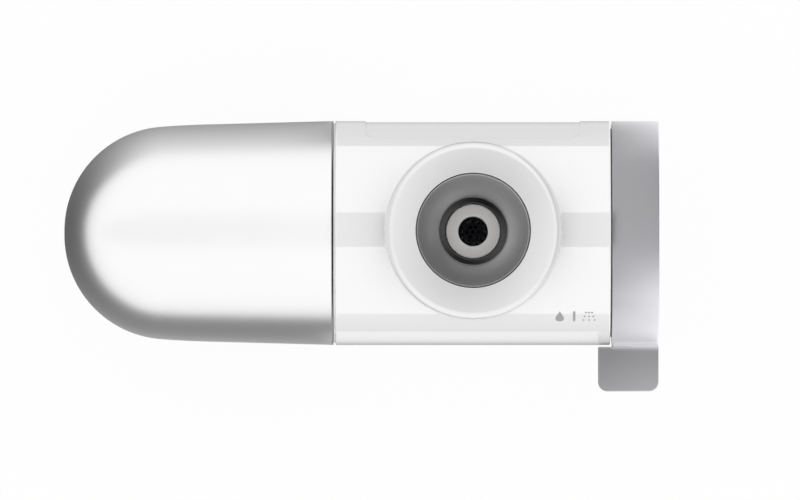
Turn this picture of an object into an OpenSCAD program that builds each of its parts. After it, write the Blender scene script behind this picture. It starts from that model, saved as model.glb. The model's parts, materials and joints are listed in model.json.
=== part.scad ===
// Faucet water filter: a lying cylinder with a tap inlet on top, a filter dome on the left end
// and a diverter lever on the right end. Millimetres, +X along the body, +Z up, user at -Y.
// The origin is on the inlet axis, at the rubber washer that the tap's end seats on.

/* [Body] */
// Outer radius of the body
body_r = 28; // [27.5:0.5:31]
// Length of the white housing
body_len = 68.6; // [68:0.2:80]
// Wall of the housing
shell_t = 1.9; // [1.7:0.1:2.4]
// Width of the open seams at both ends of the housing
seam = 0.5; // [0.3:0.1:0.8]
// Chamfer on the outer edges
edge = 0.3; // [0.1:0.1:0.5]

/* [Rating recess] */
// Length of the recess along the back
recess_len = 53.5; // [40:0.5:58]
// Angle that the recess spans round the body
recess_deg = 66; // [50:1:70]
// Depth of the recess
recess_depth = 0.3; // [0.2:0.05:0.6]
// Corner radius of the recess
recess_corner = 2.4; // [1:0.1:4]

/* [Dome] */
// Length of the dome from rim to tip
dome_len = 67.3; // [64:0.1:80]
// Radius of the nose arc
dome_nose_r = 26.05; // [25.6:0.05:26.4]
// Draft angle of the long taper
dome_draft = 1.5; // [1:0.1:2]
// Draft angle of the shoulder behind the nose
shoulder_draft = 4.6; // [3:0.1:6]
// Length of the shoulder
shoulder_len = 6; // [3:0.5:9]
// Wall of the dome
dome_t = 2.1; // [1.6:0.1:2.2]
// Length of the spigot that carries the dome
spigot_len = 10; // [9:0.5:14]
// Wall of the spigot
spigot_t = 2.4; // [2:0.1:2.8]
// Depth that the spigot seats in the housing
spigot_seat = 7; // [6:0.5:9]

/* [Cartridge] */
// Wall of the cartridge case
case_t = 1.6; // [1.2:0.1:2]
// Space between the case and the dome
case_gap = 0.9; // [0.7:0.1:1.4]
// Space between the end of the case and the tip of the dome
nose_space = 9; // [7:0.5:12]
// Depth that the case enters the spigot
case_engage = 4.5; // [4:0.1:6]
// Radius of the cartridge nipple
nipple_r = 7; // [6:0.1:8]
// Radius of the water way in the nipple
nipple_bore_r = 3.2; // [2.5:0.1:4]
// Thickness of the cartridge end cap
end_cap_t = 3; // [2.5:0.1:4]
// Thickness of the fleece round the carbon
fleece_t = 0.9; // [0.5:0.1:1.5]
// Wall of the carbon block
carbon_t = 7; // [5:0.5:8]
// Radius of the feed holes in the end cap
feed_hole_r = 1.2; // [0.8:0.1:1.6]
// Number of feed holes in the end cap
feed_holes = 8; // [6:1:12]

/* [Inlet] */
// Radius of the collar nut
collar_r = 22.1; // [21:0.1:24]
// Height of the collar above the top of the body
collar_rise = 9; // [8.5:0.1:12]
// Radius of the collar's mouth
collar_mouth_r = 14.3; // [14:0.1:15]
// Radius of the collar's rounded edge
collar_round = 1.6; // [0.8:0.1:2.2]
// Depth of the dish in the collar's face
collar_dish = 0.5; // [0.3:0.1:1]
// Thickness of the collar's lip at its outer part
collar_lip = 2.6; // [2.4:0.1:3]
// Number of grip flutes round the collar
flutes = 36; // [24:1:48]
// Depth of the grip flutes
flute_depth = 0.5; // [0.3:0.1:0.7]
// Height of the pedestal above the top of the body
pedestal_rise = 1; // [0.8:0.1:1.4]
// Radius of the collar's screw thread
collar_thread_r = 17.4; // [17:0.1:18]
// Minor radius of the tap thread
tap_thread_r = 8.46; // [7.5:0.01:9]
// Length of the tap thread
tap_thread_len = 8; // [6:0.5:9]
// Height of the funnel above the thread
funnel_h = 5.7; // [4.5:0.1:6.5]
// Thickness of the sealing washer
washer_t = 2; // [1.5:0.1:2.5]
// Outer radius of the inlet bush
bush_r = 6.8; // [6:0.1:6.9]
// Radius of the water hole in the bush
bush_bore_r = 3.7; // [3:0.1:4]
// Thickness of the slip washer
slip_t = 0.3; // [0.2:0.05:0.4]

/* [Valve] */
// Radius of the valve rotor
rotor_r = 8; // [7.5:0.1:8.5]
// Radius of the lever spindle
spindle_r = 5; // [4.6:0.1:5.4]
// Radius of the water way along the rotor
rotor_bore_r = 3; // [2.5:0.1:3.5]
// Radius of the outlet ports
port_r = 2.3; // [1.8:0.1:2.5]
// Wall between the water ways of the valve body
duct_wall = 1; // [0.8:0.1:1.4]
// Angle between two settings of the lever
lever_step = 41; // [36:1:44]

/* [Lever] */
// Length of the lever cap along the body
lever_len = 11.6; // [11:0.1:14]
// Width of the finger tab
tab_w = 15.1; // [13:0.1:17]
// Reach of the tab beyond the body
tab_reach = 11.6; // [9:0.1:15]
// Thickness of the tab
tab_t = 6.5; // [5:0.1:8]
// Corner radius of the tab
tab_corner = 2.4; // [1:0.1:4]
// Gap between the tab and the housing
tab_gap = 0.5; // [0.4:0.1:1]
// Chamfer round the faces of the tab
tab_edge = 0.5; // [0.3:0.1:0.8]
// Radius of the end cover
cover_r = 22; // [18:0.5:24]
// Thickness of the end cover
cover_t = 1.2; // [1:0.1:1.4]

/* [Outlets] */
// Radius of the outlet stem
stem_r = 12.5; // [12:0.1:13]
// Drop of the stem below the body
stem_drop = 6; // [5.5:0.1:8]
// Wall of the spray ring
spray_ring_t = 3; // [2.5:0.1:4]
// Thickness of the spray plate
spray_plate_t = 1.2; // [1:0.1:1.6]
// Radius of a spray hole
spray_hole_r = 0.45; // [0.3:0.05:0.6]
// Number of spray holes in the outer row
spray_holes = 24; // [16:1:28]
// Radius of the stream aerator
aerator_r = 5; // [4.5:0.1:5.2]
// Distance of the purified spout from the housing's left end
spout_inset = 10.3; // [9.8:0.1:11]
// Outer radius of the purified spout
spout_r = 4.6; // [4.2:0.1:5]
// Drop of the purified spout below the body
spout_drop = 7; // [5:0.5:10]

/* [Fits] */
// Radial clearance of a shaft in its bore
run_gap = 0.05; // [0.03:0.01:0.08]
// Radial clearance of a sliding cover
slide_gap = 0.1; // [0.06:0.01:0.15]
// Clearance between flat faces of moving pieces
face_gap = 0.3; // [0.2:0.05:0.4]
// Thickness of the seal cords
seal_t = 1.2; // [1:0.1:1.4]

/* [Hidden] */
$fn = 96;
// Overlap that makes a cut clean
cut = 1;
// Seal grooves are this much larger than their seals
groove_gap = 0.03;

// Ends of the housing and the bore inside it
body_x = body_len / 2;
inner_r = body_r - shell_t;
plug_r = inner_r - run_gap;

// Heights of the inlet above the body's axis, from the collar down
collar_top = body_r + collar_rise;
pedestal_top = body_r + pedestal_rise;
lip_under = collar_top - collar_lip;
lip_top = collar_top - collar_dish;
flange_t = 1.6;
flange_top = lip_under - slip_t - 2 * run_gap;
rim_top = flange_top - flange_t;
adapter_sink = 0.2;
adapter_top = lip_top - adapter_sink;
thread_top = adapter_top - funnel_h;
seat_h = thread_top - tap_thread_len;
ledge_h = seat_h - washer_t;
ledge_t = 1.5;
adapter_foot = ledge_h - ledge_t;
neck_floor = adapter_foot - face_gap;
neck_floor_t = 2.5;
pad_top = neck_floor - neck_floor_t;
strainer_t = 0.8;
bush_sink = 0.3;
bush_top = seat_h - bush_sink;
bush_seat = 3.4;
bush_foot = pad_top - bush_seat;
strainer_hole_r = 0.48;
strainer_pitch = (bush_bore_r - 2 * strainer_hole_r) / 2;

// Radii of the inlet
pedestal_inset = 0.6;
pedestal_r = collar_r - pedestal_inset;
mouth_gap = 0.35;
adapter_r = collar_mouth_r - mouth_gap;
neck_bore_r = adapter_r + face_gap;
neck_wall = 1.6;
neck_r = neck_bore_r + neck_wall;
flange_inset = 0.9;
flange_r = collar_thread_r - flange_inset;
funnel_step = 0.3;
funnel_foot_r = tap_thread_r + funnel_step;
relief_step = 0.4;
relief_r = tap_thread_r + relief_step;
rim_seal_r = (neck_bore_r + collar_thread_r) / 2;
pad_r = neck_r;
pad_seal_r = (bush_r + pad_r) / 2;
slip_in_r = adapter_r + face_gap;
flute_stop = 1.5;

// Places along the body, from the dome's tip to the lever's face
dome_rim_x = -(body_x + seam);
dome_tip_x = dome_rim_x - dome_len;
dome_cx = dome_tip_x + dome_nose_r;
shoulder_x = dome_cx - dome_nose_r * sin(shoulder_draft);
taper_x = shoulder_x + shoulder_len;
shoulder_gain = shoulder_len * tan(shoulder_draft);
taper_gain = (dome_rim_x - taper_x) * tan(dome_draft);
nose_off = body_r - taper_gain - shoulder_gain - dome_nose_r * cos(shoulder_draft);
dome_bore_r = plug_r + slide_gap;
spigot_end = -(body_x + spigot_len);
socket_face = -body_x + spigot_seat;
socket_t = 4;
socket_back = socket_face - socket_t;
spigot_bore_r = plug_r - spigot_t;
case_end = spigot_end + case_engage;
hub_gap = 2;
hub_end = case_end + hub_gap;
hub_t = 4;
hub_r = nipple_r + hub_t;
grip_x = (spigot_end + dome_rim_x) / 2;

// The filter cartridge
case_r = min(nose_off + dome_nose_r - dome_t - case_gap, spigot_bore_r - slide_gap);
case_tip = dome_tip_x + nose_space;
case_bore_r = case_r - case_t;
end_cap_r = case_bore_r - run_gap;
end_cap_x = case_end - end_cap_t;
nipple_gap = 0.6;
nipple_end = socket_back - nipple_gap;
nipple_seal_pitch = 2.4;
nipple_seal_places = [nipple_end - 2, nipple_end - 2 - nipple_seal_pitch];
case_seal_x = case_end - 2;
fleece_r = case_bore_r - face_gap;
carbon_r = fleece_r - fleece_t;
fibre_space_r = carbon_r - carbon_t;
fibre_r = fibre_space_r - face_gap;
media_tip = dome_cx;
carbon_floor = 3;
potting_t = 3;
media_end = end_cap_x - face_gap;

// The diverter valve
barrel_r = rotor_r + 2 * duct_wall + 2 * port_r;
duct_y = rotor_r + duct_wall + port_r;
barrel_left = -15;
rotor_left = -12;
purified_x = -7;
chamber_wall = 1.2;
chamber_out_r = stem_r - chamber_wall;
spray_x = chamber_out_r - port_r - run_gap;
plate_seat = 5;
flange_right = body_x - plate_seat;
valve_flange_t = 3;
valve_flange_r = 19;
rotor_end_gap = 2.8;
rotor_right = flange_right - rotor_end_gap;
seal_margin = 1.4;
rotor_bore_end = spray_x + port_r + duct_wall / 2;
rotor_seal_places = [
  rotor_left + seal_margin, rotor_bore_end + 2 * seal_margin, rotor_right - seal_margin
];
sector_margin = 5;
sector_half = 2 * rotor_r * tan(lever_step + sector_margin);
screw_ring_r = 16;
screw_r = 1.4;
screw_head_r = 2.7;
screw_head_h = 1.6;
screw_len = 6;
slot_w = 0.8;
slot_d = 0.7;
tube_t = 1.1;
tube_r = port_r + tube_t;
tube_seat = 3;

// The lever end
lever_x = body_x + seam;
lever_end = lever_x + lever_len;
plate_rim_t = 3;
plate_rim_lead = 2.2;
plate_rim_x = lever_x + plate_rim_lead;
plate_t = 4;
plate_web_x = flange_right + plate_t;
plate_hub_len = 4.7;
plate_hub_x = plate_web_x + plate_hub_len;
plate_hub_t = 4;
plate_hub_r = spindle_r + plate_hub_t;
lever_bore_r = plug_r + slide_gap;
lever_wall_t = 3;
lever_wall_x = lever_end - lever_wall_t;
cover_x = lever_end - cover_t;
drive_x = plate_hub_x + face_gap;
drive_step = 0.8;
drive_r = spindle_r - drive_step;
drive_short = 1.2;
drive_end = lever_wall_x - drive_short;
head_floor_t = 1.6;
head_seat = drive_end + head_floor_t;
lever_hub_t = 3.5;
lever_hub_r = spindle_r + lever_hub_t;
tab_tip = body_r + tab_reach;
tab_root = inner_r - tab_corner;

// The detent under the lever hub
notch_d = 0.8;
spring_t = 0.4;
spring_w = 2.4;
spring_room = 6;
spring_low = -(lever_hub_r + spring_room);
spring_x = drive_x + face_gap;
spring_span = 10;
nose_half_w = 0.5;
nose_depth = 0.25;
nose_h = nose_depth - lever_hub_r;
post_h = 3;

// The outlets below the body
low_pad = -(body_r + pedestal_rise);
pad_margin = 1;
stem_pad_r = stem_r + spray_ring_t + pad_margin;
stem_top_gap = 0.5;
stem_top = -(barrel_r + stem_top_gap);
stem_foot = -(body_r + stem_drop);
stem_shoulder_t = 1.5;
spray_ring_r = stem_r + spray_ring_t;
plate_top = stem_foot - run_gap;
plate_foot = plate_top - spray_plate_t;
spray_lip_t = 0.9;
spray_lip_w = 0.9;
spray_row_pitch = 1.9;
spray_row_step = 6;
stem_shoulder_r = spray_ring_r - pad_margin / 2;
way_seal_t = seal_t / 2;
way_seal_r = (bush_bore_r + spray_x - port_r) / 2;
chamber_h = 2.5;
aerator_flange_t = 1.2;
aerator_flange_w = 0.7;
aerator_seat_r = aerator_r + aerator_flange_w + slide_gap;
aerator_t = 0.9;
aerator_bridge = 0.8;
chamber_in_r = aerator_seat_r + aerator_t;
screen_t = 0.8;
screen_hole_r = 0.4;
screen_pitch = (aerator_r - aerator_t - 2 * screen_hole_r) / 3;
aerator_foot = plate_foot - spray_lip_t;
spout_x = body_x - spout_inset;
spout_t = 2;
spout_bore_r = spout_r - spout_t;
stub_step = 1;
spout_stub_r = spout_r - stub_step;
spout_flange_w = 2.2;
spout_flange_t = 1.4;
spout_flange_r = spout_r + spout_flange_w;
spout_pad_w = 0.8;
spout_pad_r = spout_flange_r + spout_pad_w;
drop_t = 1.8;
drop_r = spout_stub_r + drop_t;
drop_rise = 4.5;
drop_foot = -(inner_r - drop_rise);
stub_len = 6;
stub_seal_t = seal_t * 0.7;
stub_seal_r = spout_stub_r - stub_seal_t / 2;
stub_seal_z = drop_foot + stub_len / 2;
spout_foot = -(body_r + spout_drop);

// The model is worked out about the body's axis and lowered, so that the washer is at zero
module placed() translate([0, 0, -seat_h]) children();

// A round bar along the body
module bar_x(r, x0, x1) translate([x0, 0, 0]) rotate([0, 90, 0]) cylinder(r = r, h = x1 - x0);

// A round bar along the inlet axis
module bar_z(r, z0, z1) translate([0, 0, z0]) cylinder(r = r, h = z1 - z0);

// A profile of radius and X, turned about the body's axis
module turned_x() rotate([0, 90, 0]) rotate_extrude() children();

// A rectangle with round corners, centred
module round_rect(w, h, r) {
  square([w - 2 * r, h], center = true);
  square([w, h - 2 * r], center = true);
  for (sx = [-1, 1], sy = [-1, 1]) translate([sx * (w / 2 - r), sy * (h / 2 - r)]) circle(r);
}

// A seal cord bent to a ring about Z
module seal_z(ring_r, cord_t) rotate_extrude() translate([ring_r, 0]) circle(cord_t / 2);

// The same about the body's axis
module seal_x(ring_r, cord_t) rotate([0, 90, 0]) seal_z(ring_r, cord_t);

// The groove that a seal cord lies in, about Z
module groove_z(ring_r, cord_t, z0, z1) translate([0, 0, z0]) difference() {
  cylinder(r = ring_r + cord_t / 2 + groove_gap, h = z1 - z0);
  translate([0, 0, -cut]) cylinder(r = ring_r - cord_t / 2 - groove_gap, h = z1 - z0 + 2 * cut);
}

// The groove of a seal round a shaft of radius r, at x on the body's axis
module groove_x(x, r, cord_t) difference() {
  bar_x(r + cut, x - cord_t / 2 - groove_gap, x + cord_t / 2 + groove_gap);
  bar_x(r - cord_t - groove_gap, x - cord_t, x + cord_t);
}

// Half section of the dome, drawn in by t, as radius and X
module dome_section(t) {
  nose_r = dome_nose_r - t;
  shoulder_r = nose_off + dome_nose_r * cos(shoulder_draft) - t;
  intersection() {
    translate([nose_off, dome_cx]) circle(nose_r);
    translate([0, dome_cx - nose_r]) square([body_r, shoulder_x - dome_cx + nose_r]);
  }
  translate([0, dome_cx - nose_r]) square([nose_off, nose_r]);
  polygon([
    [0, shoulder_x],
    [shoulder_r, shoulder_x],
    [shoulder_r + shoulder_gain, taper_x],
    [body_r - t, dome_rim_x],
    [0, dome_rim_x]
  ]);
}

// White tube with its inlet pedestal, its outlet pads and the rating recess
module housing() color("whitesmoke") placed() difference() {
  union() {
    turned_x() polygon([
      [0, -body_x], [body_r - edge, -body_x], [body_r, -body_x + edge],
      [body_r, body_x - edge], [body_r - edge, body_x], [0, body_x]
    ]);
    bar_z(pedestal_r, 0, pedestal_top);
    bar_z(stem_pad_r, low_pad, 0);
    translate([-spout_x, 0, 0]) bar_z(spout_pad_r, low_pad, 0);
  }
  bar_x(inner_r, -body_x - cut, body_x + cut);
  bar_z(neck_r + slide_gap, 0, pedestal_top + cut);
  bar_z(stem_r + slide_gap, low_pad - cut, 0);
  translate([-spout_x, 0, 0]) bar_z(spout_r + slide_gap, low_pad - cut, 0);
  intersection() {
    difference() {
      bar_x(body_r + cut, -body_x, body_x);
      bar_x(body_r - recess_depth, -body_x - cut, body_x + cut);
    }
    translate([0, body_r + cut, 0]) rotate([90, 0, 0])
      linear_extrude(body_r) round_rect(recess_len, 2 * body_r * sin(recess_deg / 2), recess_corner);
  }
}

// White plug in the housing's left end: spigot for the dome, socket for the cartridge
module cartridge_socket() color("white") placed() difference() {
  union() {
    bar_x(plug_r, spigot_end, socket_face);
    translate([-spout_x, 0, 0]) bar_z(drop_r, drop_foot, nipple_bore_r + spout_t);
  }
  difference() {
    bar_x(spigot_bore_r, spigot_end - cut, socket_back);
    bar_x(hub_r, hub_end, socket_back + cut);
  }
  bar_x(nipple_r + run_gap, hub_end - cut, socket_back);
  bar_x(nipple_bore_r, socket_back - cut, -spout_x);
  translate([-spout_x, 0, 0]) bar_z(spout_r + run_gap, -body_r, drop_foot);
  translate([-spout_x, 0, 0]) bar_z(spout_bore_r, drop_foot - cut, 0);
  translate([-spout_x, 0, 0]) bar_z(spout_stub_r + run_gap, drop_foot - cut, drop_foot + stub_len);
  translate([0, duct_y, 0]) bar_x(port_r, socket_back - cut, socket_face);
  translate([0, duct_y, 0]) bar_x(tube_r + run_gap, socket_face - tube_seat, socket_face + cut);
  groove_x(grip_x, plug_r, seal_t);
}

// Rubber ring that grips the inside of the dome
module grip_ring() color("dimgray") placed()
  translate([grip_x, 0, 0]) seal_x(plug_r - seal_t / 2, seal_t);

// Dark plate that closes the housing's right end and carries the lever
module bearing_plate() color("dimgray") placed() difference() {
  union() {
    bar_x(plug_r, flange_right, plate_web_x);
    difference() {
      bar_x(plug_r, flange_right, plate_rim_x);
      bar_x(plug_r - plate_rim_t, plate_web_x, plate_rim_x + cut);
    }
    bar_x(plate_hub_r, flange_right, plate_hub_x);
    translate([plate_web_x - cut, -spring_span / 2, spring_low - post_h])
      cube([spring_x + spring_w - plate_web_x + cut, spring_span, post_h]);
  }
  bar_x(spindle_r + run_gap, flange_right - cut, plate_hub_x + cut);
  plate_screw_places() bar_x(screw_r + slide_gap, flange_right - cut, plate_web_x + cut);
}

// Places of the four plate screws
module plate_screw_places() for (a = [45:90:315])
  rotate([a, 0, 0]) translate([0, screw_ring_r, 0]) children();

// Slot in a screw head that ends at x
module head_slot(x) translate([x - slot_d, -screw_head_r, -slot_w / 2])
  cube([cut, 2 * screw_head_r, slot_w]);

// Screws that hold the valve body on the bearing plate
module plate_screws() color("silver") placed() plate_screw_places() {
  bar_x(screw_r, flange_right - valve_flange_t + face_gap, plate_web_x + run_gap);
  difference() {
    bar_x(screw_head_r, plate_web_x + run_gap, plate_web_x + screw_head_h);
    head_slot(plate_web_x + screw_head_h);
  }
}

// Grey block that holds the rotor and leads the water to its outlets
module valve_body() color("gainsboro") placed() difference() {
  union() {
    bar_x(barrel_r, barrel_left, flange_right - valve_flange_t);
    bar_x(valve_flange_r, flange_right - valve_flange_t, flange_right);
    bar_z(pad_r, 0, pad_top);
    bar_z(stem_r, stem_top, 0);
  }
  bar_x(rotor_r + run_gap, rotor_left - face_gap, flange_right + cut);
  bar_z(neck_r + face_gap, pad_top, body_r);
  bar_z(stem_r + face_gap, -body_r, stem_top);
  bar_z(bush_bore_r, 0, pad_top + cut);
  bar_z(bush_r + run_gap, bush_foot - strainer_t - run_gap, pad_top + cut);
  groove_z(pad_seal_r, seal_t, pad_top - seal_t, pad_top + cut);
  bar_z(bush_bore_r, stem_top - cut, 0);
  translate([spray_x, 0, 0]) bar_z(port_r, stem_top - cut, 0);
  translate([purified_x, 0, 0]) rotate([-90, 0, 0]) cylinder(r = port_r, h = duct_y);
  translate([0, duct_y, 0]) bar_x(port_r, barrel_left - cut, purified_x);
  translate([0, duct_y, 0]) bar_x(tube_r + run_gap, barrel_left - cut, barrel_left + tube_seat);
  plate_screw_places() bar_x(screw_r + run_gap, flange_right - valve_flange_t - cut, flange_right + cut);
}

// Pipe that takes raw water from the valve to the cartridge
module feed_tube() color("lightgray") placed() translate([0, duct_y, 0]) difference() {
  bar_x(tube_r, socket_face - tube_seat + run_gap, barrel_left + tube_seat - run_gap);
  bar_x(port_r, socket_face - tube_seat - cut, barrel_left + tube_seat + cut);
}

// Cup on the pedestal that holds the adapter and carries the collar's thread
module inlet_neck() color("lightgray") placed() difference() {
  union() {
    bar_z(neck_r, pad_top, rim_top);
    bar_z(collar_thread_r, pedestal_top, rim_top);
  }
  bar_z(neck_bore_r, neck_floor, rim_top + cut);
  bar_z(bush_r + run_gap, pad_top - cut, rim_top);
  groove_z(rim_seal_r, seal_t, rim_top - seal_t, rim_top + cut);
}

// Seal between the neck and the valve body
module neck_seal() color("dimgray") placed()
  translate([0, 0, pad_top - seal_t / 2]) seal_z(pad_seal_r, seal_t);

// Seal between the neck and the adapter
module adapter_seal() color("dimgray") placed()
  translate([0, 0, rim_top - seal_t / 2]) seal_z(rim_seal_r, seal_t);

// Grey adapter with its funnel and the tap thread
module faucet_adapter() color("gray") placed() rotate_extrude() polygon([
  [bush_r + run_gap, adapter_foot], [adapter_r, adapter_foot], [adapter_r, rim_top], [flange_r, rim_top],
  [flange_r, flange_top], [adapter_r, flange_top], [adapter_r, adapter_top - edge],
  [adapter_r - edge, adapter_top], [funnel_foot_r, thread_top], [tap_thread_r, thread_top],
  [tap_thread_r, seat_h], [relief_r, seat_h], [relief_r, ledge_h], [bush_r + run_gap, ledge_h]
]);

// Rubber washer that the tap's end seals on
module faucet_washer() color("black") placed() difference() {
  bar_z(relief_r - run_gap, ledge_h, seat_h - run_gap);
  bar_z(bush_r + 2 * run_gap, ledge_h - cut, seat_h + cut);
}

// Light grey bush with the water hole
module inlet_bush() color("silver") placed() difference() {
  bar_z(bush_r, bush_foot, bush_top);
  bar_z(bush_bore_r, bush_foot - cut, bush_top + cut);
}

// Perforated disc that keeps grit out of the valve
module inlet_strainer() color("silver") placed() difference() {
  bar_z(bush_r - 2 * run_gap, bush_foot - strainer_t, bush_foot);
  for (ring = [0:2], k = [0:max(0, 6 * ring - 1)])
    rotate([0, 0, k * 360 / max(1, 6 * ring)]) translate([ring * strainer_pitch, 0, 0])
      bar_z(strainer_hole_r, bush_foot - strainer_t - cut, bush_foot + cut);
}

// Stem that leads the stream and the spray down through the housing
module outlet_stem() color("lightgray") placed() difference() {
  union() {
    bar_z(stem_r, stem_foot, stem_top);
    bar_z(stem_shoulder_r, low_pad - stem_shoulder_t, low_pad);
  }
  bar_z(bush_bore_r, stem_foot - cut, stem_top + cut);
  bar_z(aerator_seat_r, stem_foot - cut, stem_foot + chamber_h);
  translate([spray_x, 0, 0]) bar_z(port_r, stem_foot - cut, stem_top + cut);
  difference() {
    bar_z(chamber_out_r, stem_foot - cut, stem_foot + chamber_h);
    bar_z(chamber_in_r, stem_foot - 2 * cut, stem_foot + chamber_h + cut);
  }
  groove_z(way_seal_r, way_seal_t, stem_top - way_seal_t, stem_top + cut);
}

// Seal between the stream's way and the spray's way
module stem_seal() color("dimgray") placed()
  translate([0, 0, stem_top - way_seal_t / 2]) seal_z(way_seal_r, way_seal_t);

// White ring that holds the spray plate
module spray_ring() color("whitesmoke") placed() difference() {
  bar_z(spray_ring_r, plate_foot - spray_lip_t, low_pad - stem_shoulder_t - run_gap);
  bar_z(stem_r + run_gap, plate_foot, low_pad);
  bar_z(stem_r - spray_lip_w, plate_foot - spray_lip_t - cut, low_pad);
}

// Dark plate with the spray holes
module spray_plate() color("dimgray") placed() difference() {
  bar_z(stem_r - run_gap, plate_foot + run_gap, plate_top);
  bar_z(aerator_r + run_gap, plate_foot - cut, plate_top + cut);
  for (row = [0, 1], k = [0:spray_holes - 1 - spray_row_step * row])
    rotate([0, 0, k * 360 / (spray_holes - spray_row_step * row)])
      translate([chamber_out_r - 2 * spray_hole_r - row * spray_row_pitch, 0, 0])
        bar_z(spray_hole_r, plate_foot - cut, plate_top + cut);
}

// Nozzle of the plain stream
module stream_aerator() color("lightgray") placed() difference() {
  union() {
    bar_z(aerator_r, aerator_foot, stem_foot + aerator_flange_t);
    bar_z(aerator_r + aerator_flange_w, stem_foot, stem_foot + aerator_flange_t);
  }
  bar_z(aerator_r - aerator_t, aerator_foot - cut, stem_foot + aerator_flange_t - aerator_bridge);
  bar_z(aerator_r - 2 * aerator_t, aerator_foot, stem_foot + aerator_flange_t + cut);
}

// Screen in the stream nozzle
module aerator_screen() color("silver") placed() difference() {
  bar_z(aerator_r - aerator_t - run_gap, plate_foot, plate_foot + screen_t);
  for (ring = [0:3], k = [0:max(0, 6 * ring - 1)])
    rotate([0, 0, k * 360 / max(1, 6 * ring)]) translate([ring * screen_pitch, 0, 0])
      bar_z(screen_hole_r, plate_foot - cut, plate_foot + screen_t + cut);
}

// Nozzle of the filtered water
module purified_spout() color("white") placed() translate([-spout_x, 0, 0]) difference() {
  union() {
    bar_z(spout_r, spout_foot, drop_foot - run_gap);
    bar_z(spout_stub_r, drop_foot - cut, drop_foot + stub_len - run_gap);
    bar_z(spout_flange_r, low_pad - spout_flange_t, low_pad);
  }
  bar_z(spout_bore_r, spout_foot - cut, drop_foot + stub_len + cut);
  groove_z(stub_seal_r, stub_seal_t, stub_seal_z - stub_seal_t / 2 - groove_gap,
    stub_seal_z + stub_seal_t / 2 + groove_gap);
}

// Seal round the spout's stub
module spout_seal() color("dimgray") placed()
  translate([-spout_x, 0, stub_seal_z]) seal_z(stub_seal_r, stub_seal_t);

// Leaf spring on the bearing plate, with its nose in a notch of the lever hub
module detent_spring() color("silver") placed() translate([spring_x, 0, 0]) rotate([90, 0, 90])
  linear_extrude(spring_w) polygon([
    [-spring_span / 2, spring_low], [spring_span / 2, spring_low], [spring_span / 2, spring_low + spring_t],
    [2 * nose_half_w, spring_low + spring_t], [nose_half_w, nose_h], [-nose_half_w, nose_h],
    [-2 * nose_half_w, spring_low + spring_t], [-spring_span / 2, spring_low + spring_t]
  ]);

// Hexagon by which the lever turns the spindle, up to x
module drive_hex(r, x) translate([drive_x - cut, 0, 0]) rotate([0, 90, 0])
  cylinder(r = r, h = x - drive_x + cut, $fn = 6);

// Grey cap with the finger tab and the hub that turns the spindle
module lever_cap() color("#b4b3ba") placed() difference() {
  union() {
    turned_x() polygon([
      [0, lever_wall_x], [lever_bore_r, lever_wall_x], [lever_bore_r, lever_x], [body_r - edge, lever_x],
      [body_r, lever_x + edge], [body_r, lever_end - edge], [body_r - edge, lever_end], [0, lever_end]
    ]);
    bar_x(lever_hub_r, drive_x, lever_wall_x + cut);
    difference() {
      finger_tab();
      bar_x(body_r + tab_gap, lever_end - tab_w - cut, lever_x);
      bar_x(body_r - shell_t / 2, lever_x - cut, lever_end + cut);
    }
  }
  bar_x(cover_r + run_gap, cover_x, lever_end + cut);
  bar_x(screw_r + slide_gap, drive_end - cut, lever_end);
  bar_x(screw_head_r + slide_gap, head_seat, lever_end);
  drive_hex(drive_r + run_gap, drive_end);
  for (a = [-lever_step, 0, lever_step]) rotate([a, 0, 0]) translate([drive_x - cut, 0, -lever_hub_r])
    rotate([0, 90, 0]) cylinder(r = notch_d, h = spring_x + spring_w + 2 * face_gap - drive_x + cut);
}

// Outline of the tab, drawn in by t
module tab_outline(t) translate([lever_end - tab_w / 2, -(tab_tip + tab_root) / 2])
  round_rect(tab_w - 2 * t, tab_tip - tab_root - 2 * t, tab_corner, $fn = 32);

// Flat tab with round corners and chamfered faces
module finger_tab() hull() for (inset = [0, tab_edge])
  translate([0, 0, inset - tab_t / 2]) linear_extrude(tab_t - 2 * inset) tab_outline(tab_edge - inset);

// Disc that hides the lever screw
module end_cover() color("#c4c4ca") placed() turned_x() polygon([
  [0, cover_x + run_gap], [cover_r, cover_x + run_gap], [cover_r, lever_end - edge],
  [cover_r - edge, lever_end], [0, lever_end]
]);

// Screw that holds the lever on the spindle
module lever_screw() color("silver") placed() difference() {
  union() {
    bar_x(screw_r, drive_end - screw_len, head_seat + run_gap);
    bar_x(screw_head_r, head_seat + run_gap, cover_x - run_gap);
  }
  head_slot(cover_x - run_gap);
}

// Rotor with its ports and the lever's spindle
module valve_rotor() color("white") placed() difference() {
  union() {
    bar_x(rotor_r, rotor_left, rotor_right);
    bar_x(spindle_r, rotor_right - cut, drive_x - run_gap);
    drive_hex(drive_r, drive_end - run_gap);
  }
  bar_x(rotor_bore_r, rotor_left - cut, rotor_bore_end);
  intersection() {
    bar_x(rotor_r + cut, -bush_bore_r, bush_bore_r);
    rotate([90, 0, 90]) linear_extrude(2 * rotor_r, center = true)
      polygon([[0, 0], [sector_half, 2 * rotor_r], [-sector_half, 2 * rotor_r]]);
  }
  bar_z(port_r, -rotor_r - cut, 0);
  rotate([-lever_step, 0, 0]) translate([spray_x, 0, 0]) bar_z(port_r, -rotor_r - cut, 0);
  rotate([lever_step, 0, 0]) translate([purified_x, 0, 0])
    rotate([-90, 0, 0]) cylinder(r = port_r, h = rotor_r + cut);
  for (x = rotor_seal_places) groove_x(x, rotor_r, seal_t);
  bar_x(screw_r + run_gap, drive_end - screw_len - cut, drive_end + cut);
}

// Seals round the rotor
module rotor_seals() color("dimgray") placed()
  for (x = rotor_seal_places) translate([x, 0, 0]) seal_x(rotor_r - seal_t / 2, seal_t);

// Thin ring that lets the collar turn on the adapter
module slip_washer() color("ivory") placed() difference() {
  bar_z(flange_r, flange_top + run_gap, flange_top + run_gap + slip_t);
  bar_z(slip_in_r, flange_top - cut, lip_under);
}

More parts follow.
